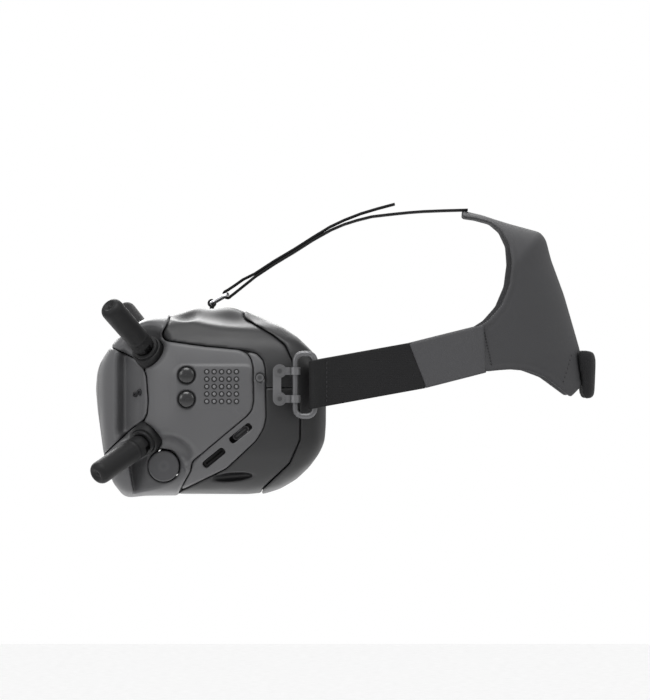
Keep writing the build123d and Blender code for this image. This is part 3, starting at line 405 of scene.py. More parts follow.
FACE_EDGE = [
    (-44.7, 55), (-44.7, 35.9), (-38, 32), (-29, 26.8), (-22.5, 21.6), (-18.6, 13), (-15.6, -7.5),
    (-14.4, -18), (-14.5, -28.6), (-20, -41), (-34.7, -55), (-39, -70), (20, -70), (20, 55),
]
TAPER_X = 38.0
GAP = 0.17
face_edge = drawing(FACE_EDGE, 0.9)
front_edge = drawing(FRONT_EDGE, 0.9)
side_area = drawing(SIDE_AREA, 0.9)
cover_area = drawing(COVER_AREA, 0.9)
strip_area = drawing(STRIP_AREA, 0.7)


def wall_of(form, wall=WALL):
    """Hollow a solid form to a wall."""
    return np.maximum(form, -(form + wall))


def middle_front(x, y):
    return soft_max(np.abs(x) - TAPER_X, y + 94.0, 3)


def rear_housing(upward):
    def form(x, y, z):
        shell = wall_of(body_form(x, y, z) + 0.9)
        shell = soft_max(shell, -upward * (z + 1.0) + GAP * 0.7, 0.8)
        shell = soft_max(shell, -face_edge(y, z) + GAP, 1.0)
        beside = soft_max(side_area(y, z), TAPER_X - np.abs(x), 1)
        shell = soft_max(shell, -beside + GAP, 1.0)
        shell = soft_max(shell, -front_edge(y, z) + GAP, 1.0)
        return soft_max(shell, -middle_front(x, y) + GAP, 1.0)
    return form


STEP = 0.9
upper = skin("rear_housing_upper_shell", rear_housing(1), (-87, -96, -2), (87, -12, 45), STEP, dark_plastic)
carry(upper, "root", "dark_shell", "rear_housing_upper")
lower = skin("rear_housing_lower_shell", rear_housing(-1), (-87, -107, -62), (87, -12, 0), STEP, dark_plastic)
carry(lower, "root", "dark_shell", "rear_housing_lower")

# ---- Front cover ------------------------------------------------------------
# Satin grey plate across the front with a cooling slot near its top, clipped
# between the two side covers.
grey_plastic = finish_material("grey_satin_plastic", (0.050, 0.050, 0.052), 0.42, grain=0.12, wear=0.25)


def front_cover_form(x, y, z):
    outer = body_form(x, y, z)
    area = soft_min(front_edge(y, z), middle_front(x, y), 1)
    form = soft_max(wall_of(outer), area + GAP, 1.2)
    # Seam groove round the plate.
    plate = soft_max(np.abs(x) - 46, soft_max(z - 31, -z - 47, 10), 12)
    groove = np.abs(plate) - 0.35
    form = soft_max(form, -np.maximum(groove, -(outer + 0.9)), 0.5)
    # Cooling slots.
    for slot_z in (36.0, 32.6):
        slot = soft_max(np.abs(x) - 24, np.abs(z - slot_z) - 0.8, 1)
        form = soft_max(form, -slot, 0.6)
    return form


front = skin("front_cover_plate", front_cover_form, (-76, -126, -61), (76, -93, 45), STEP, grey_plastic)
carry(front, "root", "grey_shell", "front_cover")

# ---- Side covers ------------------------------------------------------------
# One satin grey moulding each side: a flat field for the controls, a dish round
# each antenna, a finger well for the lens slider and horns at its front.
PAD_CENTRE = (69.0, -87.0, -42.6)
KEY_Y, KEY_Z = -74.5, (5.7, -7.0)
RECORD_Y, RECORD_Z = -50.0, (6.5, -6.5)
STICK_Y = -66.0
GRID_Y, GRID_Z, GRID_PITCH = -56.0, -0.3, 3.92
FIELD = [(-81, 8), (-78, 11), (-43, 11), (-30, 8), (-30, -14), (-46, -15), (-50, -11.6), (-81, -11.6)]
field_shape = drawing(FIELD, 1.0)


def side_cover_form(side):
    def form(x, y, z):
        outer = body_form(x, y, z)
        lift = np.clip(0.5 - field_shape(y, z) / 2.2, 0, 1)
        outer = outer - 0.55 * lift * lift * (3 - 2 * lift) * (np.abs(x) > 70)
        area = soft_max(cover_area(y, z), TAPER_X - x * side, 1)
        cover = soft_max(wall_of(outer), area + GAP, 1.7)
        keys = [(KEY_Y, k, 4.7) for k in KEY_Z] if side > 0 else [(RECORD_Y, k, 4.7) for k in RECORD_Z] + [
            (STICK_Y, 0, 7.5)]
        for key_y, key_z, radius in keys:
            flare = 0.9 * np.clip(-outer - 0.8, 0, 2) if radius > 7 else 0
            hole = np.sqrt((y - key_y) ** 2 + (z - key_z) ** 2) - radius - flare
            cover = soft_max(cover, -hole, 0.7)
        pad = np.sqrt((y - PAD_CENTRE[1]) ** 2 + (z - PAD_CENTRE[2]) ** 2) - 8.7
        cover = soft_max(cover, -np.maximum(pad, 50 - x * side), 1.0)
        for place in ANTENNA_FOOT:
            axis = unit(ANTENNA_AXIS[place])
            height, radius = along_axis(x * side, y, z, ANTENNA_FOOT[place], axis)
            cover = soft_max(cover, -np.maximum(radius - 8.45, -8 - height), 0.6)
        return cover
    return form


FINE = 0.75
for side_name, side in (("left", 1), ("right", -1)):
    low_x, high_x = sorted((side * 37, side * 87.5))
    cover = skin("side_cover_" + side_name + "_moulding", side_cover_form(side), (low_x, -122, -62),
                 (high_x, -38, 42), FINE, grey_plastic)
    carry(cover, "root", "grey_shell", "side_cover_" + side_name)

# ---- Port strips ------------------------------------------------------------
# Narrow grey strip behind each side cover. The left one has the slots for the
# cable and the memory card, the right one the round audio and power sockets.
SLOT_TURN = math.radians(39)
STRIP_SCREW = (-35.8, 4.4)


def slot_distance(y, z, middle, half_length, half_width):
    along = (y - middle[0]) * math.cos(SLOT_TURN) + (z - middle[1]) * math.sin(SLOT_TURN)
    across = -(y - middle[0]) * math.sin(SLOT_TURN) + (z - middle[1]) * math.cos(SLOT_TURN)
    return soft_max(np.abs(along) - half_length, np.abs(across) - half_width, 1.6)


def port_strip_form(side):
    def form(x, y, z):
        area = soft_max(strip_area(y, z), TAPER_X - x * side, 1)
        strip = soft_max(wall_of(body_form(x, y, z) + 0.55), area + GAP * 0.6, 1.3)
        if side > 0:
            for middle in ((-46.0, -25.0), (-60.2, -38.0)):
                strip = soft_max(strip, -slot_distance(y, z, middle, 7.0, 1.9), 0.8)
        else:
            for middle, radius in (((-47.5, -26.3), 3.1), ((-60.2, -38.0), 4.15)):
                bore = np.sqrt((y - middle[0]) ** 2 + (z - middle[1]) ** 2) - radius
                strip = soft_max(strip, -bore, 0.6)
        well = np.sqrt((y - STRIP_SCREW[0]) ** 2 + (z - STRIP_SCREW[1]) ** 2) - 2.35
        return soft_max(strip, -well, 0.5)
    return form


for side_name, side in (("left", 1), ("right", -1)):
    low_x, high_x = sorted((side * 50, side * 87))
    strip = skin("port_strip_" + side_name + "_moulding", port_strip_form(side), (low_x, -80, -58),
                 (high_x, -31, 20), FINE, grey_plastic)
    carry(strip, "root", "grey_shell", "port_strip_" + side_name)

# ---- Face frame -------------------------------------------------------------
# Near-black hood that closes round the eyes, cut to the curve of the face and
# notched for the nose.
black_plastic = finish_material("black_satin_plastic", (0.0048, 0.0048, 0.0052), 0.44, grain=0.10, wear=0.15)
FACE_RADIUS, FACE_CENTRE_Y = 140.0, 124.0
NOSE_CUT = [(-27, -75), (-22, -54), (-10, -27), (0, -19), (10, -27), (22, -54), (27, -75)]


nose_shape = drawing(NOSE_CUT, 1.2)


def face_frame_form(x, y, z):
    outer = body_form(x, y, z) + 0.25
    frame_wall = soft_max(wall_of(outer), face_edge(y, z) + GAP, 1.2)
    face = FACE_RADIUS - np.sqrt(x * x + (y - FACE_CENTRE_Y) ** 2)
    frame_wall = soft_max(frame_wall, face, 2.2)
    nose = np.maximum(nose_shape(x, z) - 0.5, -44 - y)
    return soft_max(frame_wall, -nose, 2.0)


hood = skin("face_frame_hood", face_frame_form, (-87, -46, -62), (87, 2, 45), STEP, black_plastic)
carry(hood, "root", "black_frame", "face_frame")

# ---- Seam lips --------------------------------------------------------------
# Dark tongues moulded inside the shells. They lap behind each seam and behind the
# rim of the slider hole, so that no light passes through the gaps.
LIP_HALF_WIDTH = 2.6


def seam_lip_form(x, y, z):
    depth = body_form(x, y, z) + WALL
    wall = np.maximum(depth + 0.12, -depth - 1.27)
    from_pad = np.sqrt((y - PAD_CENTRE[1]) ** 2 + (z - PAD_CENTRE[2]) ** 2)
    beyond = TAPER_X - 2 - np.abs(x)
    seams = [
        np.abs(face_edge(y, z)),
        np.maximum(np.abs(front_edge(y, z)), 30 - np.abs(x)),
        np.maximum(np.abs(side_area(y, z)), beyond),
        np.maximum(np.abs(cover_area(y, z)), beyond),
        np.maximum(np.abs(z + 1), np.maximum(y + 14, -side_area(y, z))),
        np.abs(middle_front(x, y)),
        np.maximum(np.abs(from_pad - 11.5), 50 - np.abs(x)),
    ]
    nearest = seams[0]
    for seam in seams[1:]:
        nearest = np.minimum(nearest, seam)
    return soft_max(wall, nearest - LIP_HALF_WIDTH, 0.3)


black_inside = finish_material("black_inner_plastic", (0.005, 0.005, 0.0055), 0.6, grain=0.1)
LIP_STEP = 0.75
lips = skin("seam_lips", seam_lip_form, (-84, -122, -58), (84, -10, 42), LIP_STEP, black_inside)
carry(lips, "root", "inner_plastic")

# ---- Optics carrier ---------------------------------------------------------
# Black moulded wall across the inside, with a slot for each lens barrel and
# posts that hold the guide rods.
IPD_HALF, BARREL_R = 32.0, 22.0


def optics_carrier_form(x, y, z):
    wall = np.maximum(np.maximum(body_form(x, y, z) + WALL + 1.3, np.abs(y + 48.8) - 1.2), np.abs(x) - 65)
    slot_x = np.maximum(np.abs(np.abs(x) - IPD_HALF) - 3, 0)
    wall = soft_max(wall, BARREL_R + 0.6 - np.sqrt(slot_x ** 2 + z ** 2), 0.8)
    posts = np.abs(np.abs(x) - 30.75) - 30.75
    posts = soft_max(np.abs(posts) - 3, np.abs(np.abs(z) - 26) - 4, 1.0)
    posts = soft_max(posts, np.abs(y + 55.5) - 5.4, 1.0)
    carrier = soft_min(wall, posts, 1.0)
    return np.maximum(carrier, 1.6 - np.sqrt((y + 57) ** 2 + (np.abs(z) - 26) ** 2))


carrier = skin("optics_carrier_moulding", optics_carrier_form, (-66, -62, -57), (66, -47, 42),
               0.8, black_inside)
carry(carrier, "root", "inner_plastic", "optics_carrier")

# ---- Lens slider caps -------------------------------------------------------
# Dished grey finger cap on each lens slider, moulded in plastic and pressed on.
# It lies level with the well in the side cover and moves with the lens.
def turned(name, profile, start, axis, material, segments=64):
    """Solid of revolution from (radius, height) pairs that run from the axis back to the axis."""
    axis = Vector(axis).normalized()
    across = axis.orthogonal().normalized()
    up = axis.cross(across)
    points, faces = [], []
    for radius, height in profile:
        for k in range(segments):
            turn = 2 * math.pi * k / segments
            spoke = across * math.cos(turn) + up * math.sin(turn)
            points.append(Vector(start) + axis * height + spoke * max(radius, 0.001))
    for ring in range(len(profile) - 1):
        for k in range(segments):
            a, b = ring * segments + k, ring * segments + (k + 1) % segments
            faces.append((a, b, b + segments, a + segments))
    faces.append(tuple(range(segments))[::-1])
    faces.append(tuple(range((len(profile) - 1) * segments, len(profile) * segments)))
    piece = mesh_object(name, points, faces, material)
    shape = bmesh.new()
    shape.from_mesh(piece.data)
    bmesh.ops.recalc_face_normals(shape, faces=shape.faces)
    shape.to_mesh(piece.data)
    shape.free()
    piece.data.set_sharp_from_angle(angle=math.radians(40))
    return piece


def arc(centre, radius, start, end, steps=8):
    """Points of a profile along an arc, angles in degrees from the outward direction."""
    return [(centre[0] + radius * math.cos(math.radians(start + (end - start) * k / steps)),
             centre[1] + radius * math.sin(math.radians(start + (end - start) * k / steps)))
            for k in range(steps + 1)]


slider_grey = finish_material("slider_grey_plastic", (0.034, 0.034, 0.036), 0.46, grain=0.15, wear=0.2)
for side_name, side in (("left", 1), ("right", -1)):
    rim = arc((7.4, 0.2), 0.8, 0, 90)
    cap = turned("slider_cap_" + side_name, [(0, -0.9), (8.2, -0.9), (8.2, 0)] + rim
                 + [(6.6, 0.92), (4.5, 0.62), (2.2, 0.46), (0, 0.42)],
                 (side * (PAD_CENTRE[0] + 0.1), PAD_CENTRE[1], PAD_CENTRE[2]), (side, 0, 0), slider_grey)
    carry(cap, "lens_carriage_" + side_name, "slider_grey")

# ---- Buttons and channel display --------------------------------------------
# Glossy domed keys in thin black rings, and a five by five field of light dots
# that shows the channel.
def cover_face(y, z, side):
    """Height of the side cover's skin above a point of the side view."""
    x = np.linspace(96, 70, 1041) * side
    lift = np.clip(0.5 - field_shape(np.float64(y), np.float64(z)) / 2.2, 0, 1)
    skin_line = body_form(x, np.full_like(x, y), np.full_like(x, z)) - 0.55 * lift * lift * (3 - 2 * lift)
    return float(x[np.argmax(skin_line < 0)])


key_black = finish_material("glossy_black_key", (0.006, 0.006, 0.0065), 0.26, cloudy=0.06, wear=0.1,
                            shine=0.4)
key_ring_black = finish_material("satin_black_ring", (0.010, 0.010, 0.011), 0.42, grain=0.1)
KEYS = [
    ("button_up", KEY_Y, KEY_Z[0], 1, "peak"),
    ("button_down", KEY_Y, KEY_Z[1], 1, "vee"),
    ("button_record", RECORD_Y, RECORD_Z[0], -1, "dash"),
    ("button_back", RECORD_Y, RECORD_Z[1], -1, "arrow"),
]
MARKS = {
    "peak": [((-1, -0.4), (0, 0.7)), ((0, 0.7), (1, -0.4))],
    "vee": [((-1, 0.4), (0, -0.7)), ((0, -0.7), (1, 0.4))],
    "dash": [((-0.7, 0), (0.7, 0))],
    "arrow": [((0.6, 0.9), (-0.5, 0)), ((-0.5, 0), (0.6, -0.9))],
}
for key_name, key_y, key_z, side, mark in KEYS:
    face_x = cover_face(key_y, key_z, side)
    ring = turned(key_name + "_ring", [(4.35, -1.2), (4.62, -1.2), (4.66, -0.05)]
                  + arc((5.0, -0.02), 0.34, 180, 0) + [(5.34, -0.6), (4.7, -1.0), (4.62, -1.9), (4.35, -1.9)],
                  (face_x, key_y, key_z), (side, 0, 0), key_ring_black)
    carry(ring, "root", "button_black")
    dome = [(4.2 * math.sin(math.radians(a)), 1.75 * math.cos(math.radians(a))) for a in range(84, -1, -7)]
    key = turned(key_name + "_cap", [(0, -3.6), (3.9, -3.6), (4.2, -3.3), (4.22, -0.1)] + dome,
                 (side * 83.9, key_y, key_z), (side, 0, 0), key_black)
    carry(key, key_name, "button_black", key_name)
    for number, ((ay, az), (by, bz)) in enumerate(MARKS[mark]):
        start = Vector((side * 85.55, key_y + ay, key_z + az))
        end = Vector((side * 85.55, key_y + by, key_z + bz))
        length = (end - start).length
        bar = turned(key_name + "_mark_" + str(number), [(0, -0.14)] + arc((0, 0), 0.16, -60, 0, 3)
                     + [(0.16, length)] + [(0.1, length + 0.12), (0, length + 0.14)],
                     start, end - start, key_ring_black, 10)
        carry(bar, key_name, "button_black")

dot_black = finish_material("dot_rim_black", (0.006, 0.006, 0.0065), 0.4)
dot_clear = finish_material("frosted_light_dot", (0.085, 0.085, 0.088), 0.35, cloudy=0.08, shine=0.5)
DOT_RIM = [(0, -0.6), (1.52, -0.6), (1.52, 0.08), (1.38, 0.24), (1.15, 0.24), (0.95, 0.1), (0, 0.08)]
DOT_BEAD = [(0, -0.3), (0.76, -0.3), (0.76, 0.12), (0.62, 0.2), (0.35, 0.27), (0, 0.3)]
dots = []
for row in range(-2, 3):
    for column in range(-2, 3):
        dot_y, dot_z = GRID_Y + column * GRID_PITCH, GRID_Z + row * GRID_PITCH
        place = (cover_face(dot_y, dot_z, 1), dot_y, dot_z)
        rim = turned("dot_rim", DOT_RIM, place, (1, 0, 0), dot_black, 28)
        bead = turned("dot_bead", DOT_BEAD, place, (1, 0, 0), dot_clear, 24)
        dots += [rim, bead]
grid = dots[0]
grid.name = "channel_dots"
grid.data.materials.append(dot_clear)
for part in dots[1::2]:
    part.data.materials.clear()
    part.data.materials.append(dot_black)
    part.data.materials.append(dot_clear)
    for face in part.data.polygons:
        face.material_index = 1
with bpy.context.temp_override(active_object=grid, selected_editable_objects=dots):
    bpy.ops.object.join()
carry(grid, "root", "light_pipe", "channel_display")

# ---- Vent screws ------------------------------------------------------------
# Pair of small blackened cap screws in the hollow on each side of the front
# plate. They hold the plate to the shells.
screw_black = finish_material("blackened_screw", (0.010, 0.010, 0.011), 0.3, metallic=0.6, wear=0.3)
for side_name, side in (("left", 1), ("right", -1)):
    for number, (screw_y, screw_z, radius) in enumerate(((-99.6, -3.4, 1.75), (-102.0, -4.6, 1.45))):
        x = np.linspace(90, 50, 1601)
        face_x = float(x[np.argmax(body_form(x, np.full_like(x, screw_y), np.full_like(x, screw_z)) < 0)])
        shank = [(0, -2.5), (radius * 0.7, -2.5), (radius * 0.7, -0.2), (radius, -0.1), (radius, 0.7)]
        socket = [(radius * 0.45, 1.15), (radius * 0.4, 0.5), (0, 0.5)]
        head = turned("vent_screw_" + side_name + "_" + str(number),
                      shank + arc((radius - 0.4, 0.75), 0.4, 0, 90, 4) + socket,
                      (side * face_x, screw_y, screw_z), (side * 0.9, -0.35, 0), screw_black, 32)
        carry(head, "root", "screw_steel")

# ---- Antennas ---------------------------------------------------------------
# Four stubs, moulded in soft black rubber. Each folds on a steel pin in a
# plastic collar, and the collar turns in its seat.
rubber = finish_material("antenna_rubber", (0.0045, 0.0045, 0.0048), 0.55, grain=0.22, grain_size=0.0003,
                         cloudy=0.1, shine=0.16)
pin_steel = finish_material("pin_steel", (0.22, 0.22, 0.23), 0.35, metallic=1.0)
ANTENNA_REST = {"upper": (0.62, -0.50, 0.605), "lower": (0.62, -0.645, -0.445)}
STUB_LENGTH = 33.0
for side_name, side in (("left", 1), ("right", -1)):
    for place in ANTENNA_FOOT:
        axis = Vector(unit(ANTENNA_AXIS[place]))
        reach = Vector(unit(ANTENNA_REST[place]))
        axis.x, reach.x = axis.x * side, reach.x * side
        pin = axis.cross(reach).normalized()
        foot = Vector((ANTENNA_FOOT[place][0] * side, *ANTENNA_FOOT[place][1:]))
        pivot = foot + axis * 8.4

        def stub_form(x, y, z):
            height, radius = along_axis(x, y, z, pivot, reach)
            girth = 5.95 + 0.25 * np.clip(height / 26, 0, 1) + 0.22 * np.exp(-((height - 4.6) / 0.7) ** 2)
            tube = soft_max(radius - girth, height - STUB_LENGTH, 4.2)
            tube = np.where(height > 0, tube, np.sqrt(height ** 2 + radius ** 2) - girth)
            dimple = np.sqrt(radius ** 2 + (height - STUB_LENGTH - 2.6) ** 2) - 4.0
            tube = soft_max(tube, -dimple, 0.8)
            nub = np.sqrt((radius / 1.15) ** 2 + (height - STUB_LENGTH + 1.3) ** 2) - 0.75
            tube = soft_min(tube, nub, 0.4)
            sideways = (x - pivot.x) * pin.x + (y - pivot.y) * pin.y + (z - pivot.z) * pin.z
            flat = np.sqrt(np.maximum(height ** 2 + radius ** 2 - sideways ** 2, 0))
            slot = np.maximum(np.abs(sideways) - 1.85, np.where(height < 0, -1.0, flat - 4.4))
            return soft_max(tube, -slot, 0.5)

        low = [min(pivot[a], pivot[a] + reach[a] * STUB_LENGTH) - 7 for a in range(3)]
        high = [max(pivot[a], pivot[a] + reach[a] * STUB_LENGTH) + 7 for a in range(3)]
        name = place + "_" + side_name
        stub = skin("antenna_rubber_" + name, stub_form, low, high, 0.42, rubber)
        carry(stub, "antenna_" + name, "antenna_rubber", "antenna_stub_" + name)
        pin_profile = [(0, 0), (0.9, 0), (1.1, 0.2), (1.1, 10.2), (0.9, 10.4), (0, 10.4)]
        bolt = turned("antenna_pin_" + name, pin_profile, pivot - pin * 5.2, pin, pin_steel, 24)
        carry(bolt, "antenna_" + name, "screw_steel")

# ---- Face cushion -----------------------------------------------------------
# Soft crowned ring against the face, open round the eyes and the nose. It is
# firm foam in a thin cover, with one seam round it, pushed onto the face frame.
EYE_RIM = [
    (0, 16), (36, 16.5), (52, 8), (56, -4), (52, -20), (42, -31), (0, -36), (-42, -31), (-52, -20),
    (-56, -4), (-52, 8), (-36, 16.5),
]
eye_shape = drawing(EYE_RIM, 3.0)


def face_foam_form(x, y, z):
    ring = soft_max(body_form(x, y, z) + WALL + 1.2, -eye_shape(x, z), 5)
    middle = np.sqrt(x * x + (y - 122.5) ** 2) - FACE_RADIUS
    ring = soft_max(ring, np.abs(middle) - 5.2, 5.5)
    ring = soft_max(ring, -(nose_shape(x, z) - 1.5), 4.5)
    seam = np.abs(middle + 1.0)
    return ring + 0.35 * np.exp(-((seam / 0.8) ** 2)) * (ring > -1.5)


foam_cloth = finish_material("cushion_fabric", (0.008, 0.008, 0.0085), 0.9, grain=0.6, grain_size=0.0007,
                             cloudy=0.05, shine=0.15)
FOAM_STEP = 1.1
foam = skin("face_cushion", face_foam_form, (-84, -30, -59), (84, 4, 43), FOAM_STEP, foam_cloth)
carry(foam, "root", "face_foam", "face_foam")

# ---- Side straps ------------------------------------------------------------
# Doubled black elastic. It loops round the back bar of the ring and is sewn
# to the grey tab at its other end, where its edge is cut on a slant.
def ribbon(name, path, width, thick, material, slant_start=0.0, slant_end=0.0, upward=(0, 0, 1),
           step=1.2, ribs=0.0):
    """Band of cloth that follows a line, standing across it, with rounded edges."""
    path = [Vector(p) for p in path]
    length = [0.0]
    for a, b in zip(path, path[1:]):
        length.append(length[-1] + (b - a).length)
    total = length[-1]
    count = max(int(total / step), 4)
    half = width / 2
    ring = [(half - thick * 0.5, 0.5), (half - thick * 0.15, 0.36), (half, 0), (half - thick * 0.15, -0.36),
            (half - thick * 0.5, -0.5)]
    across = [(w * half * 0.9, 0.5) for w in np.linspace(-1, 1, 15)] + ring
    across += [(w * half * 0.9, -0.5) for w in np.linspace(1, -1, 15)] + [(-w, -t) for w, t in ring]
    up = Vector(upward).normalized()

    def at(distance):
        k = min(max(int(np.searchsorted(length, distance, side="right")) - 1, 0), len(path) - 2)
        part = (distance - length[k]) / (length[k + 1] - length[k])
        here = path[k].lerp(path[k + 1], part)
        before = path[k] - path[max(k - 1, 0)] if k else path[1] - path[0]
        after = path[min(k + 2, len(path) - 1)] - path[k + 1] if k < len(path) - 2 else path[-1] - path[-2]
        own = path[k + 1] - path[k]
        first, last = (before.normalized() + own.normalized()), (own.normalized() + after.normalized())
        return here, first.lerp(last, min(max(part, 0), 1)).normalized()

    points, faces = [], []
    size = len(across)
    for k in range(count + 1):
        for w, t in across:
            start, end = slant_start * w / half, total + slant_end * w / half
            here, along = at(start + (end - start) * k / count)
            wide = (up - along * up.dot(along)).normalized()
            out = along.cross(wide)
            rib = 1 + ribs * (1 if k % 2 else -1) if abs(w) < half * 0.88 else 1
            points.append(here + wide * w + out * t * thick * rib)
    for k in range(count):
        for j in range(size):
            a, b = k * size + j, k * size + (j + 1) % size
            faces.append((a, b, b + size, a + size))
    faces.append(tuple(range(size))[::-1])
    faces.append(tuple(range(count * size, (count + 1) * size)))
    band = mesh_object(name, points, faces, material)
    shape = bmesh.new()
    shape.from_mesh(band.data)
    bmesh.ops.triangulate(shape, faces=[f for f in shape.faces if len(f.verts) > 4])
    bmesh.ops.recalc_face_normals(shape, faces=shape.faces)
    shape.to_mesh(band.data)
    shape.free()
    return band, total


def woven(name, color, roughness, thread, strength=0.5):
    """Cloth material: two crossed threads as fine relief."""
    material = finish_material(name, color, roughness, cloudy=0.05, shine=0.2)
    nodes, links = material.node_tree.nodes, material.node_tree.links
    place = nodes.new("ShaderNodeTexCoord")
    height = nodes.new("ShaderNodeMath")
    height.operation = "MAXIMUM"
    for number, direction in enumerate(("Y", "Z")):
        wave = nodes.new("ShaderNodeTexWave")
        wave.bands_direction = direction
        wave.inputs["Scale"].default_value = 0.3 / thread
        wave.inputs["Distortion"].default_value = 0.6
        links.new(place.outputs["Object"], wave.inputs["Vector"])
        links.new(wave.outputs["Fac"], height.inputs[number])
    bump = nodes.new("ShaderNodeBump")
    bump.inputs["Strength"].default_value = strength
    bump.inputs["Distance"].default_value = 0.0002
    links.new(height.outputs["Value"], bump.inputs["Height"])
    links.new(bump.outputs["Normal"], nodes["Principled BSDF"].inputs["Normal"])
    return material


elastic_cloth = woven("black_elastic", (0.0048, 0.0048, 0.0052), 0.85, 0.0009)
thread_black = finish_material("black_thread", (0.012, 0.012, 0.013), 0.7, grain=0.3)
STRAP_FRONT = Vector((89.5, -7, 0.9))
STRAP_MIDDLE = Vector((77.5, 48, 10.8))
STRAP_END = Vector((68.5, 79, 18.6))


def thread_profile(thick, half):
    """Profile of one stitch: a thread that dives into the cloth at both ends."""
    turns = [math.radians(a) for a in range(20, 180, 20)]
    return [(0, -half)] + [(thick * math.sin(t), -half * math.cos(t)) for t in turns] + [(0, half)]


def stitches(name, start, end, count, out, material, length=1.7):
    """Row of thread stitches laid on a cloth."""
    start, end, out = Vector(start), Vector(end), Vector(out).normalized()
    direction = (end - start).normalized()
    parts = []
    for k in range(count):
        middle = start.lerp(end, (k + 0.5) / count)
        parts.append(turned(name, thread_profile(0.24, length / 2), middle + out * 0.04, direction,
                            material, 8))
    with bpy.context.temp_override(active_object=parts[0], selected_editable_objects=parts):
        bpy.ops.object.join()
    parts[0].name = name
    return parts[0]


for side_name, side in (("left", 1), ("right", -1)):
    front, middle, end = [Vector((v.x * side, v.y, v.z)) for v in (STRAP_FRONT, STRAP_MIDDLE, STRAP_END)]
    along = (middle - front).normalized()
    outward = Vector((side, 0, 0)) - along * side * along.x
    outward.normalize()
    line = [middle - outward * 0.48, front + along * 8 - outward * 0.5, front + along * 4 - outward * 1.1]
    for k in range(0, 13):
        turn = math.radians(-70 - (220 * k / 12))
        line.append(front + along * 2.45 * math.cos(turn) + outward * 2.45 * math.sin(turn))
    line += [front + along * 4 + outward * 1.1, front + along * 8 + outward * 0.5, middle + outward * 0.48]
    strap, total = ribbon("side_strap_" + side_name + "_elastic", line, 25.0, 0.85, elastic_cloth,
                          slant_start=1.6, slant_end=-1.6, step=1.1, ribs=0.12)
    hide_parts("side_strap_" + side_name)
    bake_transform(strap)
    tall = Vector((0, 0, 1))
    seam = front + along * 6.5 + outward * 1.25
    sewn = stitches("ring_seam_" + side_name, seam - tall * 11, seam + tall * 11, 9, outward, thread_black)
    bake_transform(sewn)

# ---- Strap tabs -------------------------------------------------------------
# Grey laminated tab that joins each elastic to the head cradle. Its slanted
# front edge laps over the elastic and its back end is sewn under the cradle.
laminate = finish_material("grey_laminate", (0.026, 0.026, 0.0275), 0.72, grain=0.35, grain_size=0.0005,
                           cloudy=0.05, shine=0.2)
# The tab uses the cradle's grey laminate with painted light: its colour is made lighter to stand for the
# light on the tab, which faces the lamps.
tab_laminate_painted_lit = finish_material("tab_laminate_painted_lit", (0.036, 0.036, 0.038), 0.72, grain=0.35, grain_size=0.0005,
                               cloudy=0.05, shine=0.2)
for side_name, side in (("left", 1), ("right", -1)):
    middle, end = [Vector((v.x * side, v.y, v.z)) for v in (STRAP_MIDDLE, STRAP_END)]
    along = (end - middle).normalized()
    inward = Vector((-side, 0, 0))
    tab, total = ribbon("strap_tab_" + side_name,
                        [middle - along * 0.5, middle.lerp(end, 0.5), end, end + along * 4.4 + inward * 0.9],
                        25.2, 2.05, tab_laminate_painted_lit, slant_start=-1.85, slant_end=2.0)
    if side > 0:
        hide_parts("strap_tabs")
    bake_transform(tab)

# ---- Head cradle ------------------------------------------------------------
# Two grey laminated panels that wrap the back of the head. They have a turned
# hem, and a tape inside covers the seam that joins them down the middle.
CROWN_LINE = [
    (-60, 134), (74.6, 94.6), (84, 92.4), (96.4, 88.2), (108, 85), (115.5, 83), (118.6, 79),
    (121.4, 68), (128.4, 48.9), (133.9, 29.9), (137, 19), (140, 0), (141, -150), (-60, -150),
]
CRADLE_OUTLINE = [
    (79.7, 31.2), (86, 35.2), (92.7, 43), (97.2, 54), (98.6, 66), (97.5, 75.5), (93.5, 83), (88, 87.4),
    (80, 89.6), (73, 90.6), (73, 110), (150, 110), (160, 20), (130.5, -6.5), (123.9, -1.4),
    (116.9, 3.9), (107, 7.7), (97, 8.6), (90, 8.1), (83.4, 7.4),
]
crown_shape = drawing(CROWN_LINE, 1.5)
cradle_area = drawing(CRADLE_OUTLINE, 0.8)
CRADLE_WIDE, CRADLE_DEEP = 72.0, 82.0


def cradle_depth(x, y, z):
    """Distance outward from the middle of the cradle's cloth."""
    inward = np.clip(1 + crown_shape(y, z) / CRADLE_DEEP, 0, 2)
    level = (x / CRADLE_WIDE) ** 2 + inward ** 2 - 1
    return level / np.maximum(2 * np.sqrt((x / CRADLE_WIDE ** 2) ** 2 + (inward / CRADLE_DEEP) ** 2), 0.004)


def cradle_form(side):
    def form(x, y, z):
        area = cradle_area(y, z)
        hem = np.exp(-(((area + 3.4) / 0.9) ** 2)) * 0.24
        puff = 0.12 * np.clip(1 + (area + 3.4) / 1.2, 0, 1)
        cloth = np.abs(cradle_depth(x, y, z) + 1.1) - (1.05 - hem + puff)
        cloth = soft_max(cloth, area, 1.3)
        return soft_max(cloth, 0.02 - x * side, 0.5)
    return form


def cradle_tape_form(x, y, z):
    tape = np.abs(cradle_depth(x, y, z) + 2.4) - 0.45
    tape = soft_max(tape, cradle_area(y, z) + 1.5, 0.5)
    return soft_max(tape, np.abs(x) - 5, 0.5)


for side_name, side in (("left", 1), ("right", -1)):
    low_x, high_x = sorted((0, side * 73))
    panel = skin("cradle_panel_" + side_name, cradle_form(side), (low_x, 70, -8), (high_x, 142, 97),
                 0.85, laminate)
    carry(panel, "headband", "laminate_grey", "head_cradle_" + side_name)

tape = skin("cradle_seam_tape", cradle_tape_form, (-6, 70, -8), (6, 142, 97), 0.6, laminate)
carry(tape, "headband", "laminate_grey")

# ---- Cradle stitching -------------------------------------------------------
# Rows of dark thread where the tabs and the nape pocket are sewn to the cradle,
# one short stitch after another.
thread_dark = finish_material("dark_thread", (0.009, 0.009, 0.0095), 0.7, grain=0.3)


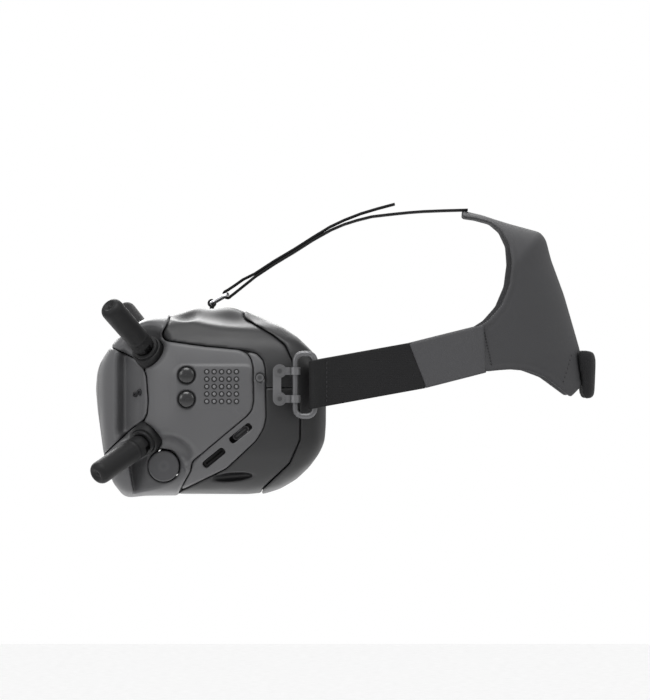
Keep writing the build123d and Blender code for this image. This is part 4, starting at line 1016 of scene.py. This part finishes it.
def cradle_x(y, z):
    """Half width of the cradle's outside at a point of the side view."""
    x = np.linspace(0, 76, 1521)
    return float(x[np.argmin(np.abs(cradle_depth(x, np.full_like(x, y), np.full_like(x, z))))])


def curved_stitches(name, line, body, side):
    """Thread stitches laid on the cradle along a side-view line."""
    parts = []
    for (ay, az), (by, bz) in zip(line, line[1:]):
        start = Vector((side * (cradle_x(ay, az) + 0.15), ay, az))
        end = Vector((side * (cradle_x(by, bz) + 0.15), by, bz))
        direction = (end - start).normalized()
        parts.append(turned(name, thread_profile(0.3, 0.5), start.lerp(end, 0.5), direction, thread_dark, 8))
    with bpy.context.temp_override(active_object=parts[0], selected_editable_objects=parts):
        bpy.ops.object.join()
    parts[0].name = name
    carry(parts[0], body, "laminate_grey")


def steps_between(a, b, count):
    return [(a[0] + (b[0] - a[0]) * k / count, a[1] + (b[1] - a[1]) * k / count) for k in range(count + 1)]


for side_name, side in (("left", 1), ("right", -1)):
    curved_stitches("tab_seam_" + side_name, steps_between((83.0, 30.6), (87.2, 10.8), 12), "headband", side)
    curved_stitches("pocket_seam_" + side_name, steps_between((131.6, 17), (126.2, 1.0), 7), "headband", side)

# ---- Nape pocket ------------------------------------------------------------
# Soft black woven pocket sewn behind the cradle. A short cloth simulation swells
# its sides a little, as its stuffing does.
POCKET_SIDE = [
    (127.5, 19.5), (143.5, 18.5), (146, 16), (146.3, 12), (145, -6.5), (140, -8), (126, -7.5),
]
pocket_side = drawing(POCKET_SIDE, 1.4)


def pocket_form(x, y, z):
    block = soft_max(pocket_side(y, z), np.abs(x) - 21.5, 5)
    block = soft_max(block, np.sqrt(x * x + (y - 100) ** 2) - 46.5, 4)
    return soft_max(block, 0.5 - cradle_depth(x, y, z), 1.2)


def plump(pad, pressure, cap, voxel):
    """Swell a pad with a short cloth simulation and give its shape back to the mesh."""
    scene = bpy.context.scene
    remesh = pad.modifiers.new("even", "REMESH")
    remesh.mode, remesh.voxel_size = "VOXEL", voxel
    evened = bpy.data.meshes.new_from_object(pad.evaluated_get(bpy.context.evaluated_depsgraph_get()))
    pad.modifiers.clear()
    pad.data = evened
    start = np.empty(len(evened.vertices) * 3)
    evened.vertices.foreach_get("co", start)
    cloth = pad.modifiers.new("swell", "CLOTH")
    cloth.settings.use_pressure = True
    cloth.settings.uniform_pressure_force = pressure
    cloth.settings.effector_weights.gravity = 0
    cloth.settings.quality = 6
    cloth.point_cache.frame_start, cloth.point_cache.frame_end = 1, 20
    for number in range(1, 21):
        scene.frame_set(number)
    swollen = bpy.data.meshes.new_from_object(pad.evaluated_get(bpy.context.evaluated_depsgraph_get()))
    pad.modifiers.clear()
    end = np.empty(len(swollen.vertices) * 3)
    swollen.vertices.foreach_get("co", end)
    start, end = start.reshape(-1, 3), end.reshape(-1, 3)
    move = end - start
    length = np.linalg.norm(move, axis=1, keepdims=True)
    move *= np.minimum(1, cap * MM / np.maximum(length, 1e-9))
    place = (start + move) / MM
    depth = 0.35 - cradle_depth(*place.T)
    place[:, 1] += np.clip(depth, 0, 3)
    evened.vertices.foreach_set("co", (place * MM).ravel())
    evened.polygons.foreach_set("use_smooth", np.ones(len(evened.polygons), bool))
    evened.update()
    scene.frame_set(1)
    smooth = pad.modifiers.new("fine", "SUBSURF")
    smooth.levels = smooth.render_levels = 1


pocket_cloth = woven("pocket_cloth", (0.0065, 0.0065, 0.007), 0.88, 0.0011, 0.7)
POCKET_STEP = 1.0
pocket = skin("nape_pocket_pad", pocket_form, (-23, 124, -9), (23, 148, 21), POCKET_STEP, pocket_cloth)
plump(pocket, 4.0, 1.2, 1.6 * MM)
pocket.data.materials.clear()
pocket.data.materials.append(pocket_cloth)
carry(pocket, "headband", "elastic_black", "nape_pocket")

# ---- Top strap --------------------------------------------------------------
# Hook-and-loop strap that folds back through the chrome loop, and the thin
# strap that joins it to the crown of the cradle.
LOOP_BAR = Vector((0, -54.4, 49.2))
rising = Vector((0, 15.0, 10.2)).normalized()
over = Vector((0, -rising.z, rising.y))
UNDER_RUN = [
    (31.6, 92.3), (24, 91.4), (16, 89.4), (9, 87.2), (2, 84.2), (-8, 78.6), (-18, 72.2), (-29, 65.6),
    (-39.4, 58.7), (-47, 52.6), (-51.0, 49.4),
]
OVER_RUN = [
    (-50.2, 54.2), (-46, 57.2), (-39.4, 60.5), (-29, 67.3), (-18, 73.8), (-8, 80.2), (1.4, 85.9),
    (9, 89.5), (18, 93.0), (27, 95.7), (36.4, 98.2),
]
line = [Vector((0, y, z)) for y, z in UNDER_RUN]
for k in range(0, 13):
    turn = math.radians(-62 - 236 * k / 12)
    line.append(LOOP_BAR + rising * 2.05 * math.cos(turn) + over * 2.05 * math.sin(turn))
line += [Vector((0, y, z)) for y, z in OVER_RUN]
TOP_WIDTH = 20.0
front_strap, total = ribbon("top_strap_folded", line, TOP_WIDTH, 1.25, elastic_cloth, upward=(1, 0, 0),
                            step=1.0, ribs=0.08)
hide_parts("top_strap_front")
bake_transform(front_strap)
BACK_RUN = [(31.75, 92.32), (37, 92.9), (44, 93.6), (52, 94.2), (62, 94.6), (76, 95.0)]
rear_strap, total = ribbon("top_strap_back", [(0, y, z) for y, z in BACK_RUN], TOP_WIDTH, 1.25,
                           elastic_cloth, upward=(1, 0, 0), ribs=0.08)
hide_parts("top_strap_rear")
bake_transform(rear_strap)

# ---- Carried-over parts -----------------------------------------------------
# The lenses, sockets, boards, fan, rods, screws and metalwork keep their shape
# and get their own materials.
steel = finish_material("bead_blasted_steel", (0.085, 0.085, 0.088), 0.42, metallic=0.8, grain=0.25, wear=0.2)
bright_chrome = finish_material("polished_chrome", (0.50, 0.50, 0.52), 0.12, metallic=1.0, cloudy=0.04)
screw_steel = finish_material("screw_steel", (0.07, 0.07, 0.072), 0.34, metallic=0.9, wear=0.4)
swivel_plastic = finish_material("antenna_swivel_plastic", (0.007, 0.007, 0.0075), 0.55, grain=0.15)
socket_plastic = finish_material("socket_plastic", (0.008, 0.008, 0.0085), 0.4, grain=0.1)
board_green = finish_material("circuit_board", (0.0035, 0.012, 0.0085), 0.5, grain=0.3, grain_size=0.0008,
                              cloudy=0.2)
display_glass = finish_material("display_glass", (0.006, 0.006, 0.010), 0.08, cloudy=0.03, shine=0.6)
lens_glass = finish_material("lens_glass", (0.90, 0.93, 0.97), 0.04, cloudy=0.02, shine=0.5)
lens_shader = lens_glass.node_tree.nodes["Principled BSDF"]
lens_shader.inputs["Transmission Weight"].default_value = 1.0
lens_shader.inputs["IOR"].default_value = 1.49
FINISHES = [
    (steel, ("strap_bracket", "strap_ring", "guide_rods", "usb_port")),
    (bright_chrome, ("top_loop",)),
    (screw_steel, ("cover_screws", "bracket_screws")),
    (swivel_plastic, ("antenna_collar", "antenna_seats")),
    (black_inside, ("lens_barrel", "fan_housing", "fan_rotor", "loop_anchor", "stick_yoke", "stick_sleeve")),
    (socket_plastic, ("card_slot", "audio_jack", "power_jack")),
    (board_green, ("main_board", "key_boards")),
    (display_glass, ("display_panel",)),
    (lens_glass, ("lens_left", "lens_right")),
    (slider_grey, ("ipd_pad",)),
    (key_black, ("stick_cap",)),
]
for material, starts in FINISHES:
    for node_name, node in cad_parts.items():
        if node_name.startswith(starts):
            node.data.materials.clear()
            node.data.materials.append(material)
